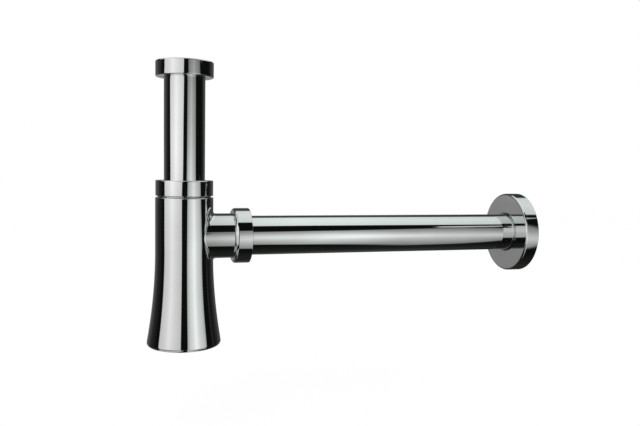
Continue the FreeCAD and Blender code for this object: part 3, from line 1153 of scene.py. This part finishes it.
        along = np.cumsum(np.linalg.norm(np.diff(stacked[:, 0], axis=0, prepend=stacked[:1, 0]), axis=-1))
        return stacked, np.concatenate([np.array(traits), along[:, None]], axis=-1)

    def skin(self) -> Skin:
        """The turned section with a window cut in each wall, and the branch lofted between the windows.

        Returns:
            The skin; its faces still have to be turned outwards.
        """
        outline, outer_row, inner_row = self.section()
        rings = turned(outline)
        column = (np.arange(COLUMNS) + COLUMNS // 2) % COLUMNS - COLUMNS // 2
        in_turn = (column >= -self.window_columns) & (column < self.window_columns)
        row = np.arange(len(rings))
        gaps = self.window_rows - 1
        in_rows = np.zeros(len(rings), bool)
        for start in (outer_row, inner_row):
            in_rows |= (row >= start) & (row < start + gaps)
        skin = Skin()
        skin.loft(rings, outline.arrays()[2], closed=True, keep=~(in_rows[:, None] & in_turn[None, :]))
        skin.loft(*self.branch())
        return skin

    def normals(self, points: np.ndarray) -> np.ndarray:
        """True normals on the outer wall and on the branch's outside, and zero elsewhere.

        Args:
            points: places on the bottle's surface.

        Returns:
            Unit normals or zeros.
        """
        x, y, height = points.T
        across = np.hypot(x, y)
        slope = (self.wall(height - PROBE, 0.0) - self.wall(height + PROBE, 0.0)) / (2 * PROBE)
        wall = np.stack([x / across, y / across, slope], axis=-1)
        wall /= np.linalg.norm(wall, axis=-1, keepdims=True)
        on_wall = np.abs(across - self.wall(height, self.body_radius)) < ON_WALL
        on_wall &= (height < self.shoulder - 2 * FITS.edge) & (height > self.base + self.wall_ends[1])
        above = height - OUTLET_HEIGHT
        aside = np.hypot(y, above)
        branch = np.stack([np.zeros_like(aside), y, above], axis=-1) / aside[:, None]
        on_branch = np.abs(aside - self.branch_radius) < ON_WALL
        on_branch &= (x > self.branch_root) & (x < self.thread_start - SUPPORT / 2)
        return np.where(on_branch[:, None], branch, np.where(on_wall[:, None], wall, 0.0))

    def build(self, shop: Workshop) -> None:
        """Makes the bottle."""
        shop.piece("bottle_body_cast", self.skin(), Slot.BODY, "bottle", "bottle_body", reorient=True,
                   normals=self.normals)


@dataclass
class CleaningPlug:
    """Hollow screw plug with a coin slot, and its O-ring."""

    spigot: float = 17.85
    wall: float = 3.3
    flange_thickness: float = 2.3
    floor: float = 3.5
    slot_length: float = 28.0
    slot_width: float = 2.6
    slot_depth: float = 1.6
    slot_bevel: float = 0.15
    face_ring: float = 20.0
    thread: Thread = Thread(pitch=1.5, cut=-0.6)

    def slot_edge(self, inset: float, height: float) -> np.ndarray:
        """Points around the slot at equal steps along its rectangle, starting in the middle of one end.

        Args:
            inset: how far inside the slot's own outline.
            height: place along the axis.

        Returns:
            One ring of COLUMNS points.
        """
        long, wide = self.slot_length / 2 - inset, max(self.slot_width / 2 - inset, 0.0)
        quarter = self.slot_length / 2 + self.slot_width / 2
        step = np.arange(COLUMNS) / COLUMNS * 4 * quarter
        fold = np.abs(np.mod(step + 2 * quarter, 4 * quarter) - 2 * quarter)
        side = np.where(step < 2 * quarter, 1.0, -1.0)
        back = np.where(fold > quarter, -1.0, 1.0)
        within = np.where(fold > quarter, 2 * quarter - fold, fold)
        x = back * np.clip(quarter - within, 0.0, self.slot_length / 2) * long / (self.slot_length / 2)
        y = side * np.clip(within, 0.0, self.slot_width / 2) * wide / (self.slot_width / 2)
        return np.stack([x, y, np.full(COLUMNS, height)], axis=-1)

    def plug(self) -> Skin:
        """Turned from the hollow's floor over the rim and thread to the flange, then lofted into the slot.

        Returns:
            The skin; its faces still have to be turned outwards.
        """
        outer = Envelope.of("base_plug")
        flange_top = outer.low + self.flange_thickness
        hollow = self.spigot - self.wall
        outline = Outline().follow([
            Corner(0.0, outer.low + self.floor),
            Corner(hollow, outer.low + self.floor, FITS.fine),
            Corner(hollow, outer.high, FITS.fine),
            Corner(self.spigot, outer.high, FITS.edge, thread=self.thread),
            Corner(self.spigot, flange_top),
            Corner(outer.radius, flange_top, FITS.fine),
            Corner(outer.radius, outer.low, FITS.edge),
            Corner(self.face_ring, outer.low),
        ], closed=False)
        bevel, top = self.slot_bevel, outer.low + self.slot_depth
        steps = [(-bevel - SUPPORT, outer.low), (-bevel, outer.low), (0.0, outer.low + bevel),
                 (0.0, outer.low + bevel + SUPPORT), (0.0, top - SUPPORT), (0.0, top), (SUPPORT, top),
                 (self.slot_width / 2, top)]
        slot = np.stack([self.slot_edge(inset, height) for inset, height in steps])
        traits = outline.arrays()[2]
        extra = np.repeat(traits[-1:], len(slot), axis=0)
        skin = Skin()
        skin.loft(np.concatenate([turned(outline), slot]), np.concatenate([traits, extra]))
        return skin

    def build(self, shop: Workshop) -> None:
        """Makes the plug and its ring.

        Args:
            shop: where they are made.
        """
        ring = cord_ring(Envelope.of("base_ring"))
        shop.piece("base_plug_turned", self.plug(), Slot.TURNED, "base_plug", "base_plug", reorient=True)
        shop.piece("base_ring_moulded", ring, Slot.RUBBER, "plug_ring", "base_ring")


@dataclass
class OutletCoupling:
    """Compression nut on the branch, with its slip ring and seal."""

    pipe_radius: float = TUBE_RADIUS
    nut_wall: float = 4.15
    nut_round: float = 2.4            # edge towards the bottle
    ring_round: float = 0.15
    seat_slope: float = 1.0 / 3.0
    seal_proud: float = 1.0
    seat_mouth: float = 17.4
    thread: Thread = Thread(pitch=1.5, cut=0.6)

    def nut(self) -> Skin:
        """Smooth ring with a shoulder around the pipe and a thread inside.

        Returns:
            The skin.
        """
        outer = Envelope.of("outlet_nut", Axis.OUTLET)
        hole, crest = self.pipe_radius + FITS.slide, outer.radius - self.nut_wall
        shoulder = Envelope.of("outlet_slip_ring", Axis.OUTLET).high
        return lathe([
            Corner(hole, shoulder),
            Corner(hole, outer.high, FITS.fine),
            Corner(outer.radius, outer.high, FITS.edge),
            Corner(outer.radius, outer.low, self.nut_round),
            Corner(crest, outer.low, FITS.fine, bare=True, thread=self.thread),
            Corner(crest, shoulder, bare=True),
        ], Axis.OUTLET)

    def seal(self) -> Skin:
        """Flat collar on the branch's end and a tapered nose in its mouth.

        Returns:
            The skin.
        """
        outer = Envelope.of("outlet_seal", Axis.OUTLET)
        bore, mouth = self.pipe_radius + FITS.seal, self.seat_mouth - FITS.seat
        collar = outer.high - self.seal_proud
        return lathe([
            Corner(bore, outer.low, self.ring_round / 2),
            Corner(mouth - (collar - outer.low) * self.seat_slope, outer.low, self.ring_round / 2),
            Corner(mouth, collar),
            Corner(outer.radius, collar, self.ring_round),
            Corner(outer.radius, outer.high, self.ring_round),
            Corner(bore, outer.high, self.ring_round),
        ], Axis.OUTLET)

    def build(self, shop: Workshop) -> None:
        """Makes the three pieces.

        Args:
            shop: where they are made.
        """
        envelope = Envelope.of("outlet_slip_ring", Axis.OUTLET)
        ring = lathe(flat_ring(self.pipe_radius + FITS.slide, envelope, self.ring_round), Axis.OUTLET)
        shop.piece("outlet_nut_turned", self.nut(), Slot.TURNED, "outlet_nut", "outlet_nut")
        shop.piece("outlet_slip_ring_cut", ring, Slot.NYLON, "outlet_ring", "outlet_slip_ring")
        shop.piece("outlet_seal_moulded", self.seal(), Slot.RUBBER, "bottle", "outlet_seal")


@dataclass
class WallRun:
    """Outlet pipe, wall flange and the O-ring that holds the flange."""

    pipe_wall: float = 1.0
    pipe_deburr: float = 0.3
    mark_offset: float = 0.2
    mark_width: float = 0.8
    mark_depth: float = 0.3
    plate: float = 2.0
    rim: float = 1.6
    rim_round: float = 1.5
    hollow_round: float = 0.6
    hub_wall: float = 3.2
    hub_length: float = 8.0
    lead_in: float = 2.0
    pocket_length: float = 2.4

    def pipe(self) -> Skin:
        """Plated pipe with deburred ends, a bare bore and a scribed mark behind the flange.

        Returns:
            The skin.
        """
        outer, flange = Envelope.of("outlet_pipe", Axis.OUTLET), Envelope.of("wall_flange", Axis.OUTLET)
        bore = outer.radius - self.pipe_wall
        mark = flange.high + self.mark_offset
        return lathe([
            Corner(bore, outer.low),
            Corner(outer.radius, outer.low, self.pipe_deburr),
            Corner(outer.radius, mark),
            Corner(outer.radius - self.mark_depth, mark),
            Corner(outer.radius - self.mark_depth, mark + self.mark_width),
            Corner(outer.radius, mark + self.mark_width),
            Corner(outer.radius, outer.high, self.pipe_deburr),
            Corner(bore, outer.high, bare=True),
        ], Axis.OUTLET)

    def flange(self) -> Skin:
        """Polished plate and rim, with a bare hub and back.

        Returns:
            The skin.
        """
        outer, pipe = Envelope.of("wall_flange", Axis.OUTLET), Envelope.of("outlet_pipe", Axis.OUTLET)
        ring = Envelope.of("flange_ring", Axis.OUTLET)
        hole = pipe.radius + FITS.slide
        hub, hub_end = hole + self.hub_wall, outer.low + self.hub_length
        pocket = ring.radius + FITS.seal
        pocket_start = outer.low + (self.hub_length - self.pocket_length) / 2
        pocket_end = pocket_start + self.pocket_length
        inside = outer.radius - self.rim
        return lathe([
            Corner(hole, outer.low, self.lead_in),
            Corner(outer.radius, outer.low, self.rim_round),
            Corner(outer.radius, outer.high, FITS.fine),
            Corner(inside, outer.high, bare=True),
            Corner(inside, outer.low + self.plate, self.hollow_round, bare=True),
            Corner(hub, outer.low + self.plate, self.hollow_round, bare=True),
            Corner(hub, hub_end, FITS.fine, bare=True),
            Corner(hole, hub_end, FITS.fine, bare=True),
            Corner(hole, pocket_end, bare=True),
            Corner(pocket, pocket_end, bare=True),
            Corner(pocket, pocket_start, bare=True),
            Corner(hole, pocket_start),
        ], Axis.OUTLET)

    def build(self, shop: Workshop) -> None:
        """Makes the three pieces.

        Args:
            shop: where they are made.
        """
        ring = cord_ring(Envelope.of("flange_ring", Axis.OUTLET), Axis.OUTLET)
        shop.piece("outlet_pipe_drawn", self.pipe(), Slot.TUBE, "outlet_pipe", "outlet_pipe")
        shop.piece("wall_flange_turned", self.flange(), Slot.TURNED, "wall_flange", "wall_flange")
        shop.piece("flange_ring_moulded", ring, Slot.RUBBER, "wall_flange", "flange_ring")


@dataclass(frozen=True)
class Viewpoint:
    """The photograph's camera, in degrees, metres and pixels of a 640 pixel wide picture."""

    azimuth: float = -5.666
    distance: float = 0.5459
    height: float = -0.0727
    yaw: float = 11.385
    pitch: float = -3.958
    roll: float = 0.963
    focal_pixels: float = 675.15
    picture_width: float = 640.0
    sensor: float = 36.0
    nearest: float = 0.01

    def build(self) -> None:
        """Stands the camera around the inlet's axis, facing it, then turns it by yaw, pitch and roll."""
        camera = bpy.data.cameras.new("camera")
        camera.sensor_width = self.sensor
        camera.lens = self.focal_pixels * self.sensor / self.picture_width
        camera.clip_start = self.nearest
        made = stand("camera", camera)
        azimuth, yaw, pitch, roll = map(math.radians, (self.azimuth, self.yaw, self.pitch, self.roll))
        spot = Vector((math.sin(azimuth) * self.distance, -math.cos(azimuth) * self.distance, self.height))
        upright = Matrix.Rotation(azimuth - yaw, 4, "Z") @ Matrix.Rotation(math.pi / 2, 4, "X")
        tilted = Matrix.Rotation(pitch, 4, "X") @ Matrix.Rotation(roll, 4, "Z")
        made.matrix_world = Matrix.Translation(spot) @ upright @ tilted
        bpy.context.scene.camera = made
        LOG.info("camera: lens %.2f mm", camera.lens)


@dataclass(frozen=True)
class Softbox:
    """A lit panel of the tent: two sides that may slant, and a brightness across and up the panel.

    An upright panel counts azimuth from the camera, positive to its right, and elevation upwards, in degrees.
    A lengthwise panel counts places along the outlet in hundredths of the tent's radius instead of azimuth,
    and degrees around the outlet's axis, from the camera's side over the top, instead of elevation.
    """

    sides: tuple[tuple[float, float, float], ...]   # elevation, azimuths of the left and the right side
    across: Curve                                   # share of the width from the left, level
    rise: Curve                                     # elevation, level
    lean: Curve = ((0.0, 0.0),)                     # azimuth, degrees that the panel hangs lower there
    tint: tuple[float, float, float] = (1.0, 1.0, 1.0)
    feather: float = 1.2                            # degrees over which its sides fade out

    def glow(self, azimuth: np.ndarray, elevation: np.ndarray) -> np.ndarray:
        """Light of the panel in each direction.

        Args:
            azimuth: directions' azimuth.
            elevation: directions' elevation.

        Returns:
            Colours, with black outside the panel.
        """
        heights, left, right = zip(*self.sides)
        left, right = np.interp(elevation, heights, left), np.interp(elevation, heights, right)
        inside = np.clip(np.minimum(azimuth - left, right - azimuth) / self.feather, 0.0, 1.0)
        level = np.interp((azimuth - left) / (right - left), *zip(*self.across))
        raised = elevation + np.interp(azimuth, *zip(*self.lean))
        return (inside * level * np.interp(raised, *zip(*self.rise)))[..., None] * np.array(self.tint)


BACK_RISE: Curve = ((-60.0, 0.0), (-40.0, 1.0), (20.0, 1.0), (40.0, 0.3))   # of the two panels at the back


@dataclass
class Studio:
    """Pale floor, white surroundings, a soft lamp, and a tent of panels and dark cloth for the chrome."""

    floor_drop: float = 0.07
    floor_size: float = 6.0
    floor_colour: Colour = (0.95, 0.95, 0.95, 1.0)
    floor_white: float = 0.9          # share of plain white that the eye sees in the floor
    lamp_size: float = 1.2
    lamp_power: float = 9.0
    lamp_spot: tuple[float, float, float] = (-0.8, -1.0, 1.3)
    lamp_aim: tuple[float, float, float] = (0.8, 1.0, -1.4)
    tent_radius: float = 0.6
    backdrop_radius: float = 1.2
    tent_steps: tuple[int, int] = (360, 180)
    opening: tuple[Span, Span] = ((-7.0, 9.0), (-40.0, 30.0))   # azimuths and elevations of the camera's gap
    cloth: tuple[float, float, float] = (0.0045, 0.0055, 0.0045)
    world_light: float = 1.0
    left_panel: Softbox = Softbox(
        sides=((-20.0, -80.0, -8.0), (-5.0, -83.0, -9.0), (1.0, -83.0, -9.0), (18.5, -87.0, -1.0),
               (19.5, -84.0, -3.0)),
        across=((0.0, 0.84), (0.3, 1.02), (0.46, 1.22), (0.7, 1.0), (1.0, 0.78)),
        rise=((-34.0, 0.0), (-28.0, 0.7), (-20.0, 0.76), (-8.0, 0.82), (0.0, 0.9), (5.0, 1.0), (12.0, 1.0),
              (20.0, 0.92), (40.0, 0.9), (43.0, 0.0)))
    right_panel: Softbox = Softbox(
        sides=((-40.0, 10.5, 80.0), (-25.0, 10.5, 71.0), (-17.0, 10.5, 68.5), (-10.0, 10.5, 72.0),
               (-7.0, 10.5, 73.5), (0.0, 11.0, 67.0), (5.0, 12.5, 64.5), (18.5, 15.0, 64.0),
               (19.5, 13.5, 61.0)),
        across=((0.0, 0.56), (0.09, 0.68), (0.16, 0.86), (0.32, 1.02), (0.42, 1.24), (0.47, 1.2),
                (0.55, 1.06), (0.66, 0.86), (0.82, 0.74), (0.9, 0.62), (1.0, 0.4)),
        rise=((-50.0, 0.0), (-46.0, 0.38), (-36.0, 0.5), (-24.0, 0.7), (-10.0, 1.0), (0.0, 0.85),
              (12.0, 0.53), (21.0, 0.36), (24.0, 0.0)),
        tint=(0.97, 1.0, 0.99))
    slit: Softbox = Softbox(
        sides=((-12.0, 96.0, 105.0), (-8.0, 93.0, 103.0), (-5.0, 88.5, 99.0)),
        across=((0.0, 0.17), (1.0, 0.17)),
        rise=((-20.0, 0.0), (-15.0, 0.1), (-7.6, 0.1), (-5.8, 1.0), (0.0, 1.0), (3.5, 0.0)))
    sliver: Softbox = Softbox(
        sides=((36.5, 70.0, 79.0), (40.0, 70.0, 82.5), (42.5, 70.0, 84.5), (45.5, 70.0, 86.0)),
        across=((0.0, 0.6), (0.4, 0.72), (1.0, 0.5)),
        rise=((36.5, 0.0), (38.5, 1.0), (43.5, 1.0), (45.5, 0.0)))
    overhead: Softbox = Softbox(
        sides=((-180.0, -89.0, 89.0), (180.0, -89.0, 89.0)),
        across=((0.0, 0.8), (0.6, 0.8), (0.64, 0.92), (0.72, 1.06), (0.84, 0.99), (0.93, 0.92), (1.0, 0.84)),
        rise=((58.5, 0.0), (61.0, 0.9), (95.0, 1.02), (124.0, 0.92), (131.0, 0.02)),
        lean=((40.0, 0.0), (60.0, 2.0), (75.0, 4.5), (90.0, 6.0)),
        tint=(0.93, 1.0, 0.975),
        feather=4.0)
    under: Softbox = Softbox(
        sides=((-180.0, -96.0, 96.0), (180.0, -96.0, 96.0)),
        across=((0.0, 0.01), (1.0, 0.01)),
        rise=((-125.0, 0.0), (-112.0, 1.4), (-92.0, 1.0), (-75.0, 0.5), (-62.0, 0.0)),
        tint=(1.0, 1.05, 0.85),
        feather=8.0)
    back_left: Softbox = Softbox(
        sides=((-90.0, -181.5, -92.0), (90.0, -181.5, -92.0)),
        across=((0.0, 0.07), (0.36, 0.1), (0.58, 0.055), (0.7, 0.02), (1.0, 0.0)),
        rise=BACK_RISE)
    back_right: Softbox = Softbox(
        sides=((-90.0, 104.0, 181.5), (90.0, 104.0, 181.5)),
        across=((0.0, 0.0), (0.3, 0.025), (0.5, 0.07), (1.0, 0.07)),
        rise=BACK_RISE)
    grey_card: Softbox = Softbox(
        sides=((-90.0, -179.0, -153.0), (90.0, -179.0, -153.0)),
        across=((0.0, 0.19), (1.0, 0.19)),
        rise=((-22.0, 0.0), (-19.0, 0.9), (6.0, 1.1), (9.0, 0.0)))
    nut_card: Softbox = Softbox(
        sides=((-90.0, 164.0, 181.5), (90.0, 164.0, 181.5)),
        across=((0.0, 0.1), (0.3, 0.2), (1.0, 0.2)),
        rise=((-1.0, 0.0), (1.0, 1.0), (9.0, 1.0), (11.0, 0.0)))
    foot_cards: tuple[Curve, ...] = (    # corners of the left and the right card, in millimetres
        ((-13.0, -130.0), (-13.0, 30.0), (-38.0, 30.0), (-95.0, -22.0)),
        ((5.0, -130.0), (31.0, -130.0), (31.0, 30.0), (5.0, 30.0)))
    foot_card_drop: float = 0.052     # just below the foot at the bottle's lowest place
    foot_card_glow: float = 0.55

    def floor(self) -> None:
        """Plain plane under the object: near white to the eye, a matt card to light, unseen by the chrome."""
        half, height = self.floor_size / 2, CAD_BOX[0][2] - self.floor_drop
        corners = [(x * half, y * half, height) for x, y in ((-1, -1), (1, -1), (1, 1), (-1, 1))]
        mesh = bpy.data.meshes.new("floor")
        mesh.from_pydata(corners, [], [(0, 1, 2, 3)])
        material, graph = new_material("pale_floor")
        card = graph.add("ShaderNodeBsdfDiffuse", {"Color": self.floor_colour})
        white = graph.add("ShaderNodeEmission", {"Color": WHITE, "Strength": 1.0})
        seen = graph.math("MULTIPLY", self.seen(graph), self.floor_white)
        mix = graph.add("ShaderNodeMixShader", {0: seen, 1: card.outputs[0], 2: white.outputs[0]})
        graph.add("ShaderNodeOutputMaterial", {"Surface": mix.outputs[0]})
        mesh.materials.append(material)
        made = stand("floor", mesh)
        made.visible_glossy = False

    @staticmethod
    def seen(graph: Graph) -> bpy.types.NodeSocket:
        """1 for rays from the camera, from gloss and through glass, and 0 for rays that carry light.

        Args:
            graph: the graph to work in.

        Returns:
            The value's socket.
        """
        path = graph.add("ShaderNodeLightPath")
        direct = graph.math("MAXIMUM", path.outputs["Is Camera Ray"], path.outputs["Is Glossy Ray"])
        return graph.math("MAXIMUM", direct, path.outputs["Is Transmission Ray"])

    def world(self) -> None:
        """White surroundings to the eye, and an even light of plain strength."""
        world = bpy.data.worlds.new("white_room")
        world.use_nodes = True
        graph = Graph(world.node_tree)
        strength = graph.between(self.seen(graph), self.world_light, 1.0)
        light = graph.add("ShaderNodeBackground", {"Color": WHITE, "Strength": strength})
        graph.add("ShaderNodeOutputWorld", {"Surface": light.outputs[0]})
        bpy.context.scene.world = world

    def lamp(self) -> None:
        """One large soft lamp from the upper left, for the rubber and nylon."""
        light = bpy.data.lights.new("soft_lamp", "AREA")
        light.shape, light.size, light.energy = "DISK", self.lamp_size, self.lamp_power
        made = stand("soft_lamp", light)
        facing = Vector(self.lamp_aim).to_track_quat("-Z", "Y").to_matrix().to_4x4()
        made.matrix_world = Matrix.Translation(self.lamp_spot) @ facing
        made.visible_glossy = False

    def glow(self, azimuth: np.ndarray, elevation: np.ndarray, ways: np.ndarray) -> np.ndarray:
        """Light that comes from each direction: dark cloth and every softbox's own light.

        Args:
            azimuth: degrees from the camera.
            elevation: degrees upwards.
            ways: the same directions as unit vectors.

        Returns:
            Colours.
        """
        along_pipe = 100.0 * ways[..., 0]
        over_pipe = np.degrees(np.arctan2(ways[..., 2], -ways[..., 1]))
        upright = (self.left_panel, self.right_panel, self.slit, self.back_left, self.back_right,
                   self.grey_card, self.nut_card)
        lengthwise = (self.overhead, self.sliver, self.under)
        light = np.array(self.cloth) + np.sum([box.glow(azimuth, elevation) for box in upright], axis=0)
        return light + np.sum([box.glow(along_pipe, over_pipe) for box in lengthwise], axis=0)

    @staticmethod
    def glow_material() -> bpy.types.Material:
        """Emission in the colours that a mesh's points hold; it lights nothing but what mirrors it.

        Returns:
            The material.
        """
        material, graph = new_material("tent_glow")
        colour = graph.add("ShaderNodeAttribute", attribute_name="glow").outputs["Color"]
        emission = graph.add("ShaderNodeEmission", {"Color": colour, "Strength": 1.0})
        graph.add("ShaderNodeOutputMaterial", {"Surface": emission.outputs[0]})
        material.cycles.emission_sampling = "NONE"
        return material

    @staticmethod
    def mirrored(name: str, points: np.ndarray, faces: np.ndarray, light: np.ndarray,
                 material: bpy.types.Material) -> None:
        """Adds a glowing surface that only the chrome sees.

        Args:
            name: the surface's name.
            points: its points, in metres.
            faces: indices of each face's points.
            light: colour at each point.
            material: the material that shows these colours.
        """
        opaque = np.concatenate([light, np.ones_like(light[..., :1])], axis=-1).astype(np.float32)
        mesh = bpy.data.meshes.new(name)
        mesh.from_pydata(points.reshape(-1, 3).tolist(), [], faces.tolist())
        layer = mesh.attributes.new("glow", "FLOAT_COLOR", "POINT")
        layer.data.foreach_set("color", np.ascontiguousarray(opaque.reshape(-1)))
        mesh.materials.append(material)
        made = stand(name, mesh)
        made.visible_camera = made.visible_diffuse = made.visible_transmission = made.visible_shadow = False

    def tent(self, view: Viewpoint) -> None:
        """Sphere open where the camera looks in, a wider one behind the gap, and two cards under the foot.

        Args:
            view: the camera that the softboxes' azimuths are counted from.
        """
        columns, rows = self.tent_steps
        azimuth, elevation = np.meshgrid(np.linspace(-180.0, 180.0, columns + 1),
                                         np.linspace(-90.0, 90.0, rows + 1))
        turn, rise = np.radians(view.azimuth - 90.0 + azimuth), np.radians(elevation)
        ways = np.stack([np.cos(rise) * np.cos(turn), np.cos(rise) * np.sin(turn), np.sin(rise)], axis=-1)
        light = self.glow(azimuth, elevation, ways)
        corner = (np.arange(rows)[:, None] * (columns + 1) + np.arange(columns)[None, :]).reshape(-1, 1)
        cells = corner + np.array([0, columns + 1, columns + 2, 1])
        (first, last), (low, high) = self.opening
        gap = (azimuth >= first) & (azimuth < last) & (elevation >= low) & (elevation < high)
        closed = cells[~gap.reshape(-1)[corner[:, 0]]]
        material = self.glow_material()
        centre = np.array([0.0, 0.0, OUTLET_HEIGHT * MM])
        self.mirrored("light_tent", centre + self.tent_radius * ways, closed, light, material)
        self.mirrored("backdrop", centre + self.backdrop_radius * ways, cells, light, material)
        plan = np.array(self.foot_cards).reshape(-1, 2) * MM
        cards = np.column_stack([plan, np.full(len(plan), CAD_BOX[0][2] - self.foot_card_drop)])
        self.mirrored("foot_cards", cards, np.arange(len(plan)).reshape(-1, 4),
                      np.full_like(cards, self.foot_card_glow), material)

    def build(self, view: Viewpoint) -> None:
        """Sets up the whole studio.

        Args:
            view: the camera that it is set up around.
        """
        bpy.context.scene.view_settings.view_transform = "Standard"
        self.floor()
        self.world()
        self.lamp()
        self.tent(view)
        LOG.info("studio: tent radius %.2f m", self.tent_radius)


def main() -> None:
    """Builds the pieces, the studio and the camera."""
    logging.basicConfig(level=logging.INFO, format="%(name)s %(message)s")
    shop = Workshop()
    for assembly in (InletUnion(), NeckCoupling(), Bottle(), CleaningPlug(), OutletCoupling(), WallRun()):
        assembly.build(shop)
    view = Viewpoint()
    view.build()
    Studio().build(view)


if __name__ == "__main__":
    main()
